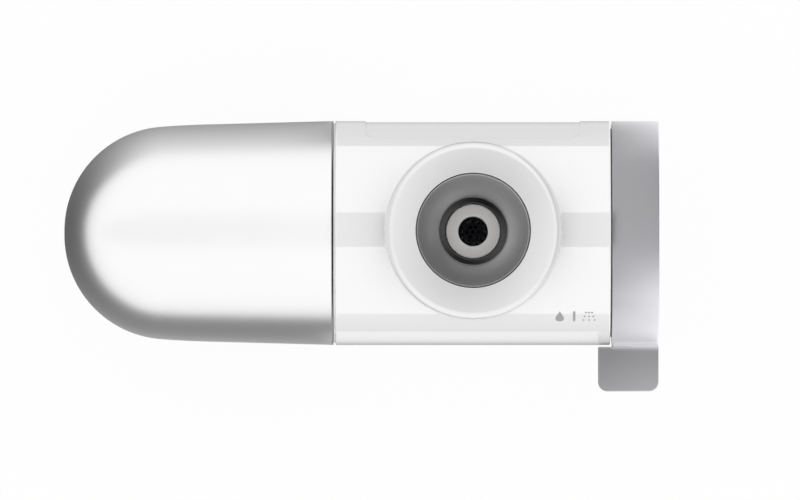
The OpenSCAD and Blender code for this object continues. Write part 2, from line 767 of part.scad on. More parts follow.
// White dished nut that holds the filter on the adapter
module collar_nut() color("white") placed() difference() {
  rotate_extrude() union() {
    polygon([
      [collar_thread_r + run_gap, pedestal_top + face_gap], [collar_r, pedestal_top + face_gap],
      [collar_r, collar_top - collar_round], [collar_r - collar_round, collar_top],
      [collar_mouth_r, lip_top], [collar_mouth_r, lip_under], [collar_thread_r + run_gap, lip_under]
    ]);
    translate([collar_r - collar_round, collar_top - collar_round]) intersection() {
      circle(collar_round);
      square(collar_round);
    }
  }
  for (k = [0:flutes - 1]) rotate([0, 0, k * 360 / flutes]) translate([collar_r + flute_depth, 0, 0])
    bar_z(2 * flute_depth, pedestal_top - cut, collar_top - collar_round - flute_stop);
}

// Case of the filter cartridge
module cartridge_case() color("gainsboro") placed() turned_x() difference() {
  intersection() {
    dome_section(dome_t + case_gap);
    translate([0, case_tip]) square([case_r, case_end - case_tip]);
  }
  intersection() {
    dome_section(dome_t + case_gap + case_t);
    translate([0, case_tip + case_t]) square([case_bore_r, case_end - case_tip]);
  }
  translate([case_r - seal_t - groove_gap, case_seal_x - seal_t / 2 - groove_gap])
    square([seal_t + cut, seal_t + 2 * groove_gap]);
}

// Cap of the cartridge with its feed holes and its nipple
module cartridge_end_cap() color("white") placed() difference() {
  union() {
    bar_x(end_cap_r, end_cap_x, case_end);
    bar_x(nipple_r, end_cap_x, nipple_end);
  }
  bar_x(nipple_bore_r, end_cap_x - cut, nipple_end + cut);
  for (k = [0:feed_holes - 1]) rotate([k * 360 / feed_holes, 0, 0])
    translate([0, (hub_r + spigot_bore_r) / 2, 0]) bar_x(feed_hole_r, end_cap_x - cut, case_end + cut);
  for (x = nipple_seal_places) groove_x(x, nipple_r, seal_t);
}

// Seals round the nipple
module nipple_seals() color("dimgray") placed()
  for (x = nipple_seal_places) translate([x, 0, 0]) seal_x(nipple_r - seal_t / 2, seal_t);

// Seal round the case, inside the spigot
module case_seal() color("dimgray") placed()
  translate([case_seal_x, 0, 0]) seal_x(case_r - seal_t / 2, seal_t);

// Fleece round the carbon block
module fleece_wrap() color("linen") placed() difference() {
  bar_x(fleece_r, media_tip, media_end);
  bar_x(carbon_r + run_gap, media_tip - cut, media_end + cut);
}

// Hollow block of pressed carbon
module carbon_block() color("#2a2a2a") placed() difference() {
  bar_x(carbon_r, media_tip, media_end);
  bar_x(fibre_space_r, media_tip + carbon_floor, media_end + cut);
}

// Bundle of hollow fibres inside the carbon
module fibre_bundle() color("ivory") placed()
  bar_x(fibre_r, media_tip + carbon_floor + face_gap, media_end - potting_t);

// Resin disc that the fibres end in
module potting_disc() color("wheat") placed()
  bar_x(fibre_r, media_end - potting_t, end_cap_x - run_gap);

// Satin metal dome over the cartridge
module dome_cover() color("silver") placed() turned_x() difference() {
  dome_section(0);
  intersection() {
    dome_section(dome_t);
    translate([0, dome_tip_x]) square([dome_bore_r, dome_len]);
  }
  translate([0, spigot_end - face_gap]) square([dome_bore_r, spigot_len + cut]);
  polygon([
    [body_r - edge, dome_rim_x], [body_r + cut, dome_rim_x - edge - cut], [body_r + cut, dome_rim_x + cut],
    [body_r - edge, dome_rim_x + cut]
  ]);
}

housing();
cartridge_socket();
grip_ring();
bearing_plate();
plate_screws();
valve_body();
feed_tube();
inlet_neck();
neck_seal();
adapter_seal();
faucet_adapter();
faucet_washer();
inlet_bush();
inlet_strainer();
outlet_stem();
stem_seal();
spray_ring();
spray_plate();
stream_aerator();
aerator_screen();
purified_spout();
spout_seal();
detent_spring();
lever_cap();
end_cover();
lever_screw();
valve_rotor();
rotor_seals();
slip_washer();
collar_nut();
cartridge_case();
cartridge_end_cap();
nipple_seals();
case_seal();
fleece_wrap();
carbon_block();
fibre_bundle();
potting_disc();
dome_cover();
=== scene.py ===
import json
import math

import bmesh
import bpy
import numpy as np
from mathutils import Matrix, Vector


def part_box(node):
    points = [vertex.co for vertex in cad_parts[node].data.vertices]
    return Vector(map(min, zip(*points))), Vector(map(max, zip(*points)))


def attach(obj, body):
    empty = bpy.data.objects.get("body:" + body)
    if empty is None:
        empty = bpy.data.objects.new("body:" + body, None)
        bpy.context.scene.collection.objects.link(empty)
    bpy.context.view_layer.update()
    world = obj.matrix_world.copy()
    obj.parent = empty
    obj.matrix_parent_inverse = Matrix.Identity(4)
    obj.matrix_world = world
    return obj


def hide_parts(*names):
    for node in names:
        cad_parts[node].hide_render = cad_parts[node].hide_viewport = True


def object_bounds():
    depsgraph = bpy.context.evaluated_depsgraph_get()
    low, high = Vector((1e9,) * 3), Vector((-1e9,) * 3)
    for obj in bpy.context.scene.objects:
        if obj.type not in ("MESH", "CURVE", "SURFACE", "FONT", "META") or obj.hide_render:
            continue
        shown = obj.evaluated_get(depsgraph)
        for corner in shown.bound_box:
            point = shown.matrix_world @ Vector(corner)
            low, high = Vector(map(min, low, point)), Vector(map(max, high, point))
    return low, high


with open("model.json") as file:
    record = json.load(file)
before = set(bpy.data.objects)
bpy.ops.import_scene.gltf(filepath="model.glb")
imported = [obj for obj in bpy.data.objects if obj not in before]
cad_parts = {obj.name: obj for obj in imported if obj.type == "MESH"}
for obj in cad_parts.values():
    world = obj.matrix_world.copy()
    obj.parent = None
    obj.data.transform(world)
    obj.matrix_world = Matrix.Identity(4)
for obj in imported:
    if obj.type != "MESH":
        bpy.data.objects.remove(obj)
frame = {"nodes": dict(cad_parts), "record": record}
cadLow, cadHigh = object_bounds()
mm = 0.001                                  # pieces are worked out in millimetres


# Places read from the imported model, in millimetres

def nodeSpan(node):
    low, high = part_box(node)
    return np.array(low) / mm, np.array(high) / mm


domeLow, domeHigh = nodeSpan("dome_cover")
axisZ = (domeLow[2] + domeHigh[2]) / 2      # height of the body's long axis
bodyR = (domeHigh[2] - domeLow[2]) / 2      # radius of the body
bodyLeft, bodyRight = (corner[0] for corner in nodeSpan("housing"))
spoutX = sum(corner[0] for corner in nodeSpan("purified_spout")) / 2

# Fillets of moulded edges, in millimetres
fineRound, smallRound, plainRound, softRound, deepRound = 0.1, 0.2, 0.3, 0.4, 0.5


# Mesh tools

# Even turns round a full circle, without its end
def circle(count):
    return np.linspace(0, math.tau, count, endpoint=False)


# A step from 0 to 1 that starts and ends level: 3 s^2 - 2 s^3
def smoothStep(share):
    return share ** 2 * (3 - 2 * share)


# A ring of quads between each two rows of points; a row shrunk to a point closes with a fan
def shell(points, wrapRows=False):
    rows, cols = points.shape[:2]
    tight = np.ptp(points, axis=1).max(axis=1) < 1e-9
    size = np.where(tight, 1, cols)
    first = np.concatenate([[0], np.cumsum(size)[:-1]])
    verts = np.concatenate([points[r, :size[r]] for r in range(rows)])
    ring = np.arange(cols)
    after = (ring + 1) % cols
    faces = []
    for r in range(rows if wrapRows else rows - 1):
        n = (r + 1) % rows
        if tight[r] and tight[n]:
            continue
        if tight[r]:
            band = [np.full(cols, first[r]), first[n] + after, first[n] + ring]
        elif tight[n]:
            band = [first[r] + ring, first[r] + after, np.full(cols, first[n])]
        else:
            band = [first[r] + ring, first[r] + after, first[n] + after, first[n] + ring]
        faces += np.stack(band, 1).tolist()
    return verts, faces


# Corners (along, radius, fillet) become a path: each corner is cut back by fillet times the tangent
# of half its turn, and an arc joins the two cuts; close points beside each arc keep the flats flat
def filletPath(corners, closed=False, steps=7, beside=0.12, mostShare=0.45, besideShare=0.2,
               straightDeg=89.9):
    flat = np.array([c[:2] for c in corners], float)
    count = len(flat)
    path = []
    for i, corner in enumerate(corners):
        if not closed and i in (0, count - 1):
            path.append(flat[i][None])
            continue
        back = flat[i - 1] - flat[i]
        ahead = flat[(i + 1) % count] - flat[i]
        backLen, aheadLen = np.hypot(*back), np.hypot(*ahead)
        back, ahead = back / backLen, ahead / aheadLen
        half = math.acos(np.clip(back @ ahead, -1, 1)) / 2
        if corner[2] <= 0 or half > math.radians(straightDeg):
            path.append(flat[i][None])
            continue
        reach = min(corner[2] / math.tan(half), mostShare * backLen, mostShare * aheadLen)
        radius = reach * math.tan(half)
        middle = flat[i] + (back + ahead) / np.hypot(*(back + ahead)) * radius / math.sin(half)
        turn = np.linspace(0, math.pi - 2 * half, steps + 1)[:, None]
        arm = flat[i] + back * reach - middle
        arc = middle + np.cos(turn) * arm - np.sin(turn) * back * radius
        lead = min(beside, besideShare * backLen)
        trail = min(beside, besideShare * aheadLen)
        path += [(arc[0] + back * lead)[None], arc, (arc[-1] + ahead * trail)[None]]
    return np.concatenate(path)


# A path of (along, radius) turned about the body's axis: (along, radius sin t, radius cos t)
def turnedX(path, turns=256):
    t = circle(turns)
    along = np.repeat(path[:, :1], turns, 1)
    return np.stack([along, path[:, 1:] * np.sin(t), axisZ + path[:, 1:] * np.cos(t)], -1)


# A path of (height, radius) turned about an upright axis at centreX: (radius cos t, radius sin t, height)
def turnedZ(path, turns=192, centreX=0.0):
    t = circle(turns)
    height = np.repeat(path[:, :1], turns, 1)
    return np.stack([centreX + path[:, 1:] * np.cos(t), path[:, 1:] * np.sin(t), height], -1)


# Depth of a helical groove, as a share: 0.5 - 0.5 cos(2 pi height / pitch - turn), faded at both ends
def threadWave(height, low, high, pitch, fadeLen, turn):
    wave = 0.5 - 0.5 * np.cos(math.tau * height[:, None] / pitch - turn)
    return wave * np.clip(np.minimum(height - low, high - height) / fadeLen, 0, 1)[:, None]


def newObject(name, data):
    thing = bpy.data.objects.new(name, data)
    bpy.context.scene.collection.objects.link(thing)
    return thing


# Joins shells into one object at the origin, faces outward
def makePiece(name, shells, finish, body, slot, *nodes):
    verts, faces, start = [], [], 0
    for shellVerts, shellFaces in shells:
        verts.append(shellVerts)
        faces += [[i + start for i in face] for face in shellFaces]
        start += len(shellVerts)
    mesh = bpy.data.meshes.new(name)
    mesh.from_pydata((np.concatenate(verts) * mm).tolist(), [], faces)
    work = bmesh.new()
    work.from_mesh(mesh)
    bmesh.ops.recalc_face_normals(work, faces=work.faces)
    work.to_mesh(mesh)
    work.free()
    mesh.polygons.foreach_set("use_smooth", [True] * len(mesh.polygons))
    mesh.materials.append(finishes[finish])
    piece = newObject(name, mesh)
    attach(piece, body)
    if nodes:
        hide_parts(*nodes)
    print("piece", name, len(mesh.vertices), "points")
    return piece


# A piece's mask for the second colour of its finish, one value for each point
def setMask(piece, share):
    mask = piece.data.attributes.new("secondShare", "FLOAT", "POINT")
    mask.data.foreach_set("value", share)


# Shader tools

def setSockets(node, values):
    for label, value in values.items():
        node.inputs[label].default_value = value


def addNode(tree, kind, group=None, **values):
    node = tree.nodes.new("ShaderNode" + kind)
    if group:
        node.node_tree = group
    setSockets(node, values)
    return node


def wire(tree, *pairs):
    for source, target in pairs:
        tree.links.new(source, target)


def mathNode(tree, operation, first, second=None):
    node = addNode(tree, "Math")
    node.operation = operation
    for socket, value in zip(node.inputs, (first, second)):
        if isinstance(value, (int, float)):
            socket.default_value = value
        elif value is not None:
            wire(tree, (value, socket))
    return node.outputs[0]


def noiseNode(tree, vector, scale, detail):
    node = addNode(tree, "TexNoise", Detail=detail)
    wire(tree, (vector, node.inputs["Vector"]), (scale, node.inputs["Scale"]))
    return node.outputs["Fac"]


# Inputs are labels with their usual values, outputs are labels with their kinds
def newGroup(name, inputs, outputs):
    group = bpy.data.node_groups.new(name, "ShaderNodeTree")
    for label, value in inputs.items():
        kind = "NodeSocketFloat" if isinstance(value, (int, float)) else "NodeSocketColor"
        group.interface.new_socket(label, in_out="INPUT", socket_type=kind).default_value = value
    for label, kind in outputs.items():
        group.interface.new_socket(label, in_out="OUTPUT", socket_type="NodeSocket" + kind)
    return group, group.nodes.new("NodeGroupInput").outputs, group.nodes.new("NodeGroupOutput").inputs


# Colour, roughness and height that drift over a surface. With the sum s of two noises about 0, the colour
# is multiplied by 1 + spread * s and the roughness gains spread * s; the height is the finer noise
def makeGrainGroup():
    group, given, result = newGroup(
        "surfaceGrain",
        {"Color": (0.8, 0.8, 0.8, 1), "Color Spread": 0.04, "Roughness": 0.4, "Roughness Spread": 0.05,
         "Patch Scale": 60, "Grain Scale": 2500},
        {"Color": "Color", "Roughness": "Float", "Height": "Float"})
    place = addNode(group, "TexCoord").outputs["Object"]
    patch = mathNode(group, "SUBTRACT", noiseNode(group, place, given["Patch Scale"], 3), 0.5)
    grain = noiseNode(group, place, given["Grain Scale"], 2)
    both = mathNode(group, "ADD", patch, mathNode(group, "SUBTRACT", grain, 0.5))
    shade = mathNode(group, "ADD", mathNode(group, "MULTIPLY", both, given["Color Spread"]), 1)
    tint = addNode(group, "VectorMath")
    tint.operation = "SCALE"
    rough = mathNode(group, "MULTIPLY", both, given["Roughness Spread"])
    wire(group, (given["Color"], tint.inputs[0]), (shade, tint.inputs["Scale"]),
         (tint.outputs[0], result["Color"]), (grain, result["Height"]),
         (mathNode(group, "ADD", rough, given["Roughness"]), result["Roughness"]))
    return group


# Fine rings left by a lathe: a noise along the distance from the upright axis plus the height
def makeRingGroup():
    group, given, result = newGroup("turnedRings", {"Rings Per Metre": 5000}, {"Height": "Float"})
    place = addNode(group, "SeparateXYZ")
    x, y, z = place.outputs
    square = mathNode(group, "ADD", mathNode(group, "MULTIPLY", x, x), mathNode(group, "MULTIPLY", y, y))
    distance = mathNode(group, "ADD", mathNode(group, "SQRT", square), z)
    line = addNode(group, "TexNoise", Scale=1.0, Detail=2.0)
    line.noise_dimensions = "1D"
    wire(group, (addNode(group, "TexCoord").outputs["Object"], place.inputs[0]),
         (mathNode(group, "MULTIPLY", distance, given["Rings Per Metre"]), line.inputs["W"]),
         (line.outputs["Fac"], result["Height"]))
    return group


grainGroup = makeGrainGroup()
ringGroup = makeRingGroup()


# Finishes: colours are linear, scales are per metre, bump is in millimetres
finishLooks = {
    "whiteGloss": {"color": (0.88, 0.88, 0.88), "rough": 0.06, "roughSpread": 0.02, "grain": 700,
                   "bump": 0.0006, "coat": 1.0, "coatIor": 1.8, "coatRough": 0.03, "spread": 0.012},
    # collarWhite: its mask mixes a darker and a lighter white to paint a highlight round the rim and shade
    # across the dish
    "collarWhite": {"color": (0.635, 0.635, 0.635), "secondColor": (0.80, 0.80, 0.80), "rough": 0.2,
                    "grain": 900, "bump": 0.001, "coat": 1.0, "coatIor": 1.8, "coatRough": 0.1,
                    "spread": 0.012},
    "innerWhite": {"color": (0.76, 0.76, 0.75), "rough": 0.4, "grain": 2500, "bump": 0.006},
    "satinMetal": {"color": (0.905, 0.905, 0.91), "rough": 0.29, "roughSpread": 0.03, "metal": 1.0,
                   "grain": 5200, "bump": 0.004, "spread": 0.03},
    # leverSatin: its mask mixes a near-white and a dark grey to paint light and shade over the lever
    "leverSatin": {"color": (0.959, 0.952, 0.993), "secondColor": (0.34, 0.338, 0.353), "rough": 0.5,
                   "metal": 1.0, "grain": 4200, "bump": 0.005, "spread": 0.03, "sheen": 0.75,
                   "sheenRough": 0.4},
    # turnedGrey: its mask mixes a lighter and a darker grey to paint light lobes and shade on the adapter's
    # funnel
    "turnedGrey": {"color": (0.41, 0.41, 0.41), "secondColor": (0.165, 0.165, 0.165), "rough": 0.34,
                   "metal": 0.45, "grain": 4000, "bump": 0.002, "rings": 9000, "ringBump": 0.006},
    "bushGrey": {"color": (0.79, 0.78, 0.77), "rough": 0.45, "grain": 3000, "bump": 0.004},
    "darkPlastic": {"color": (0.008, 0.008, 0.009), "specular": 0.06, "rough": 0.45, "grain": 3000,
                    "bump": 0.008, "spread": 0.1},
    "plateGrey": {"color": (0.35, 0.35, 0.36), "rough": 0.45, "grain": 3000, "bump": 0.008, "spread": 0.08},
    "paleGrey": {"color": (0.55, 0.55, 0.56), "rough": 0.42, "grain": 2600, "bump": 0.006},
    "blackRubber": {"color": (0.028, 0.028, 0.029), "rough": 0.62, "grain": 3600, "bump": 0.01,
                    "spread": 0.15},
    "washerSatin": {"color": (0.008, 0.008, 0.008), "specular": 0.9, "rough": 0.14, "grain": 3600,
                    "bump": 0.002, "spread": 0.15},
    # Black and grey of the dark ring at the dome's left seam, mixed by its mask: painted shade and a
    # painted reflection
    "seamShadeBlack": {"color": (0.006, 0.006, 0.006), "secondColor": (0.28, 0.28, 0.28), "specular": 0.06,
                    "rough": 0.5, "grain": 3000, "bump": 0.004},
    "plainSteel": {"color": (0.62, 0.62, 0.63), "rough": 0.28, "metal": 1.0, "grain": 6000, "bump": 0.003},
    "nylonNatural": {"color": (0.72, 0.70, 0.62), "rough": 0.5, "grain": 2600, "bump": 0.006},
    "casePale": {"color": (0.62, 0.66, 0.70), "rough": 0.22, "grain": 1500, "bump": 0.003, "coat": 0.6},
    "fleeceWhite": {"color": (0.78, 0.76, 0.70), "rough": 0.9, "grain": 1400, "bump": 0.12, "spread": 0.2},
    "carbonBlack": {"color": (0.018, 0.018, 0.018), "rough": 0.85, "grain": 1800, "bump": 0.08,
                    "spread": 0.5},
    "fibreWhite": {"color": (0.80, 0.78, 0.72), "rough": 0.7, "grain": 1200, "bump": 0.1, "spread": 0.15},
    "resinAmber": {"color": (0.60, 0.46, 0.26), "rough": 0.3, "grain": 900, "bump": 0.004, "spread": 0.08},
    "printGrey": {"color": (0.36, 0.36, 0.37), "rough": 0.4, "grain": 4000, "bump": 0.001, "spread": 0.06},
}
plainSockets = [                            # (socket, key of the look, value if the look has none)
    ("Metallic", "metal", 0.0), ("Specular IOR Level", "specular", 0.5),
    ("Coat Weight", "coat", 0.0), ("Coat IOR", "coatIor", 1.5), ("Coat Roughness", "coatRough", 0.03),
    ("Sheen Weight", "sheen", 0.0), ("Sheen Roughness", "sheenRough", 0.5),
]


def makeFinish(name, look):
    material = bpy.data.materials.new(name)
    material.use_nodes = True
    tree = material.node_tree
    shader = tree.nodes["Principled BSDF"]
    setSockets(shader, {socket: look.get(key, usual) for socket, key, usual in plainSockets})
    grain = addNode(tree, "Group", grainGroup, **{
        "Color": (*look["color"], 1), "Color Spread": look.get("spread", 0.05), "Roughness": look["rough"],
        "Roughness Spread": look.get("roughSpread", 0.08), "Grain Scale": look["grain"]})
    if "secondColor" in look:               # a second colour where the piece's own mask says so
        mask = addNode(tree, "Attribute")
        mask.attribute_name = "secondShare"
        zones = addNode(tree, "Mix")
        zones.data_type = "RGBA"
        firstTint, secondTint, mixed = zones.inputs[6], zones.inputs[7], zones.outputs[2]
        firstTint.default_value = (*look["color"], 1)
        secondTint.default_value = (*look["secondColor"], 1)
        wire(tree, (mask.outputs["Fac"], zones.inputs[0]), (mixed, grain.inputs["Color"]))
    bump = addNode(tree, "Bump", Strength=1.0, Distance=look["bump"] * mm)
    wire(tree, (grain.outputs["Color"], shader.inputs["Base Color"]),
         (grain.outputs["Roughness"], shader.inputs["Roughness"]),
         (grain.outputs["Height"], bump.inputs["Height"]),
         (bump.outputs["Normal"], shader.inputs["Normal"]))
    if "rings" in look:
        rings = addNode(tree, "Group", ringGroup, **{"Rings Per Metre": look["rings"]})
        ringBump = addNode(tree, "Bump", Distance=look["ringBump"] * mm)
        wire(tree, (rings.outputs["Height"], ringBump.inputs["Height"]),
             (ringBump.outputs["Normal"], bump.inputs["Normal"]))
    return material


finishes = {name: makeFinish(name, look) for name, look in finishLooks.items()}
print("finishes", len(finishes))


# Dome: flat spot, nose arc, shoulder and long taper outside; the same drawn in by the wall inside
dome = {"noseR": 26.05, "shoulderDeg": 4.6, "shoulderLen": 6.0, "taperDeg": 1.5, "wall": 2.1,
        "rimRound": 0.08, "boreR": 26.15, "boreLen": 9.8, "lineStart": 0.46, "lineEnd": 0.06,
        "lineDepth": 0.35, "lineLip": 0.01, "lineRound": 0.03, "noseSteps": 64, "sideSteps": 40}


# Nose: along = centre - noseR cos t, radius = flat spot + noseR sin t. From there the radius gains the
# slope of a draft that eases from the shoulder's angle to the taper's, and is brought to bodyR - inset
# at the rim
def domePath(inset):
    shoulder, shoulderLen = math.radians(dome["shoulderDeg"]), dome["shoulderLen"]
    steep, gentle = math.tan(shoulder), math.tan(math.radians(dome["taperDeg"]))
    rimX = domeHigh[0]
    centreX = domeLow[0] + dome["noseR"]
    shoulderX = centreX - dome["noseR"] * math.sin(shoulder)
    taperGain = (rimX - shoulderX - shoulderLen) * gentle
    flatR = bodyR - taperGain - shoulderLen * steep - dome["noseR"] * math.cos(shoulder)
    turn = np.linspace(0, math.pi / 2 - shoulder, dome["noseSteps"])
    noseR = dome["noseR"] - inset
    nose = np.stack([centreX - noseR * np.cos(turn), flatR + noseR * np.sin(turn)], 1)
    endX, endR = nose[-1]
    x = np.linspace(endX, rimX, dome["sideSteps"])
    ease = np.clip((x[1:] - shoulderX) / (2 * shoulderLen), 0, 1)
    r = endR + np.cumsum((steep + (gentle - steep) * ease) * np.diff(x))
    r += (bodyR - inset - r[-1]) * (x[1:] - endX) / (rimX - endX)
    return np.concatenate([[[nose[0, 0], 0.0]], nose, np.stack([x[1:], r], 1)])


def makeDome():
    outer, inner = domePath(0.0)[:-1], domePath(dome["wall"])
    rimX = domeHigh[0]
    boreX, boreR, edge = rimX - dome["boreLen"], dome["boreR"], dome["lineRound"]
    lineX, lineEnd, lineR = rimX - dome["lineStart"], rimX - dome["lineEnd"], bodyR - dome["lineDepth"]
    rim = filletPath([(*outer[-1], 0), (lineX, bodyR - dome["lineLip"], edge), (lineX, lineR, 0),
                      (lineEnd, lineR, 0), (lineEnd, bodyR, edge), (rimX, bodyR, dome["rimRound"]),
                      (rimX, boreR, plainRound), (boreX, boreR, 0)])[1:]
    path = np.concatenate([outer, rim, inner[inner[:, 0] < boreX][::-1]])
    makePiece("domeCover", [shell(turnedX(path))], "satinMetal", "dome", "satin_metal", "dome_cover")


makeDome()


# Housing: tube with rounded ends and, on the back, a shallow field with round corners
housing = {"wall": 1.9, "endRound": 0.35, "endZone": 0.6, "lipLen": 0.45, "lipR": 27.45, "lipRound": 0.05,
           "recessLen": 53.5, "recessDeg": 66, "recessDepth": 0.3, "recessCorner": 2.8, "recessEdge": 0.4,
           "lengthSteps": 50, "turnSteps": 240, "edgeSteps": 7, "cornerSteps": 14, "cornerMargin": 0.2}
recessHalf = bodyR * math.sin(math.radians(housing["recessDeg"] / 2))
boss = {"rise": 1.0, "round": 0.3, "foot": 0.6, "footSteps": 9, "footClear": 0.05, "sink": 0.1, "dip": 0.5,
        "boreLead": 1.0, "wallLead": 0.8}
bosses = [                                  # (place on X, outer radius, bore radius, up or down)
    (0.0, 21.5, 15.95, 1),
    (0.0, 16.5, 12.6, -1),
    (spoutX, 7.6, 4.7, -1),
]


# Distance to the edge of a rectangle with round corners, less than zero inside
def fieldDistance(u, v, halfU, halfV, corner):
    du = np.abs(u) - halfU + corner
    dv = np.abs(v) - halfV + corner
    return np.hypot(np.maximum(du, 0), np.maximum(dv, 0)) + np.minimum(np.maximum(du, dv), 0) - corner


# Lines of the tube's grid: even steps, and close steps where the field's edge and corners are
def housingLines():
    edge, zone, halfLen = housing["recessEdge"], housing["endZone"], housing["recessLen"] / 2
    far = housing["recessCorner"] + housing["cornerMargin"]
    near = np.concatenate([np.linspace(-edge / 2, edge / 2, housing["edgeSteps"]),
                           np.linspace(edge, far, housing["cornerSteps"])])
    even = np.linspace(bodyLeft + zone, bodyRight - zone, housing["lengthSteps"])
    x = np.concatenate([even, halfLen - near, near - halfLen])
    back = np.arccos((recessHalf - near) / bodyR)
    fullTurn = np.linspace(-math.pi, math.pi, housing["turnSteps"], endpoint=False)
    angle = np.concatenate([fullTurn, back, math.pi - back])
    return np.unique(np.round(x, 3)), np.unique(np.round(angle, 4))


# The tube's wall: radius = bodyR - depth * smooth step of the distance inside the field's edge.
# Cells of the grid under a boss are left out of both walls, and quads join the walls round each hole
def housingTube():
    x, angle = housingLines()
    inner, zone, endRound = bodyR - housing["wall"], housing["endZone"], housing["endRound"]
    right = filletPath([(bodyRight - zone, bodyR, 0), (bodyRight, bodyR, endRound),
                        (bodyRight, inner, smallRound), (bodyRight - zone, inner, 0)])[1:-1]
    lipX, lipR = bodyLeft - housing["lipLen"], housing["lipR"]
    left = filletPath([(bodyLeft + zone, inner, 0), (lipX, inner, fineRound), (lipX, lipR, fineRound),
                       (bodyLeft, lipR, housing["lipRound"]), (bodyLeft, bodyR, endRound),
                       (bodyLeft + zone, bodyR, 0)])[1:-1]
    nx, na = len(x), len(angle)
    innerRow = nx + len(right)
    along = np.concatenate([x, right[:, 0], x[::-1], left[:, 0]])[:, None] + np.zeros(na)
    radius = np.concatenate([np.full(nx, bodyR), right[:, 1], np.full(nx, inner), left[:, 1]])
    radius = radius[:, None] + np.zeros(na)
    distance = fieldDistance(along[:nx], bodyR * np.cos(angle), housing["recessLen"] / 2, recessHalf,
                             housing["recessCorner"])
    inside = np.clip(0.5 - distance / housing["recessEdge"], 0, 1) * (np.sin(angle) > 0)
    radius[:nx] -= housing["recessDepth"] * smoothStep(inside)
    points = np.stack([along, radius * np.sin(angle), axisZ + radius * np.cos(angle)], -1)
    middleX = (x[:-1] + x[1:])[:, None] / 2
    middle = angle + np.diff(angle, append=angle[0] + math.tau) / 2
    drop = np.zeros((nx - 1, na), bool)
    for centreX, outerR, boreR, side in bosses:
        reach = np.hypot(middleX - centreX, bodyR * np.sin(middle))
        drop |= (reach < (outerR + boreR) / 2) & (side * np.cos(middle) > 0)
    ids = np.arange(points.shape[0] * na).reshape(-1, na)
    ahead = np.roll(ids, -1, 0)
    quads = np.stack([ids, np.roll(ids, -1, 1), np.roll(ahead, -1, 1), ahead], -1)
    keep = np.ones(ids.shape, bool)
    keep[:nx - 1] = ~drop
    keep[innerRow:innerRow + nx - 1] = ~drop[::-1]
    outerIds, innerIds = ids[:nx], ids[innerRow:innerRow + nx][::-1]
    i, j = np.nonzero(drop[:-1] != drop[1:])
    row, after = i + 1, (j + 1) % na
    across = np.stack([outerIds[row, j], outerIds[row, after], innerIds[row, after], innerIds[row, j]], 1)
    i, j = np.nonzero(drop != np.roll(drop, 1, 1))
    lengthways = np.stack([outerIds[i, j], outerIds[i + 1, j], innerIds[i + 1, j], innerIds[i, j]], 1)
    used, faces = np.unique(np.concatenate([quads[keep], across, lengthways]), return_inverse=True)
    return points.reshape(-1, 3)[used], faces.reshape(-1, 4).tolist()


# A round boss that stands on the tube: its foot follows height = sqrt(bodyR^2 - y^2) and flares out a
# little, and its underside follows the tube's inner wall in the same way
def saddleBoss(centreX, outerR, boreR, side, turns=192):
    t = circle(turns)
    face, foot, pad = bodyR + boss["rise"], boss["foot"], boss["round"]
    inner = bodyR - housing["wall"] - boss["sink"]
    crown = filletPath([(face - boss["boreLead"], boreR, 0), (face, boreR, smallRound), (face, outerR, pad),
                        (face - boss["wallLead"], outerR, 0)])[1:-1]
    share = np.linspace(0, math.pi / 2, boss["footSteps"])[:, None]
    flare = outerR + foot * (1 - np.cos(share)) + np.zeros(turns)
    seat = np.sqrt(bodyR ** 2 - (flare * np.sin(t)) ** 2) + foot * (1 - np.sin(share))
    seat = np.minimum(seat, face - pad - boss["footClear"])
    under = np.array([outerR, outerR, boreR])[:, None] + np.zeros(turns)
    wall = np.array([bodyR - boss["dip"], inner, inner])[:, None]
    low = np.sqrt(wall ** 2 - (under * np.sin(t)) ** 2)
    radius = np.concatenate([crown[:, 1:] + np.zeros(turns), flare, under])
    height = np.concatenate([crown[:, :1] + np.zeros(turns), seat, low])
    points = np.stack([centreX + radius * np.cos(t), radius * np.sin(t), axisZ + side * height], -1)
    return shell(points, wrapRows=True)


def makeHousing():
    shells = [housingTube()] + [saddleBoss(*place) for place in bosses]
    makePiece("housingShell", shells, "whiteGloss", "housing", "white_gloss", "housing")


makeHousing()


# Collar: dished face, round rim and flutes that run out below the rim
collar = {"mouthR": 14.3, "mouthRound": 0.25, "threadR": 17.45, "rimRound": 1.6, "dish": 0.5,
          "dishPower": 1.5, "lip": 2.6, "flutes": 36, "fluteDepth": 0.5, "fluteStop": 1.5, "fluteRun": 1.0,
          "wallZone": 0.3, "faceSteps": 24, "rimSteps": 14, "wallSteps": (4, 8, 6), "turnsPerFlute": 14,
          # the next two lines paint through the mask: a highlight round the rim, dimmer at the sides, and
          # shade across the dish; wallTone is the wall's even tone
          "highlightR": 21.0, "highlightW": 1.0, "highlightFade": 0.4, "highlightIn": 0.7, "highlightOut": 0.3, "highlightDim": 0.25,
          "sidePower": 4, "plainTone": 0.64, "wallTone": 0.9}


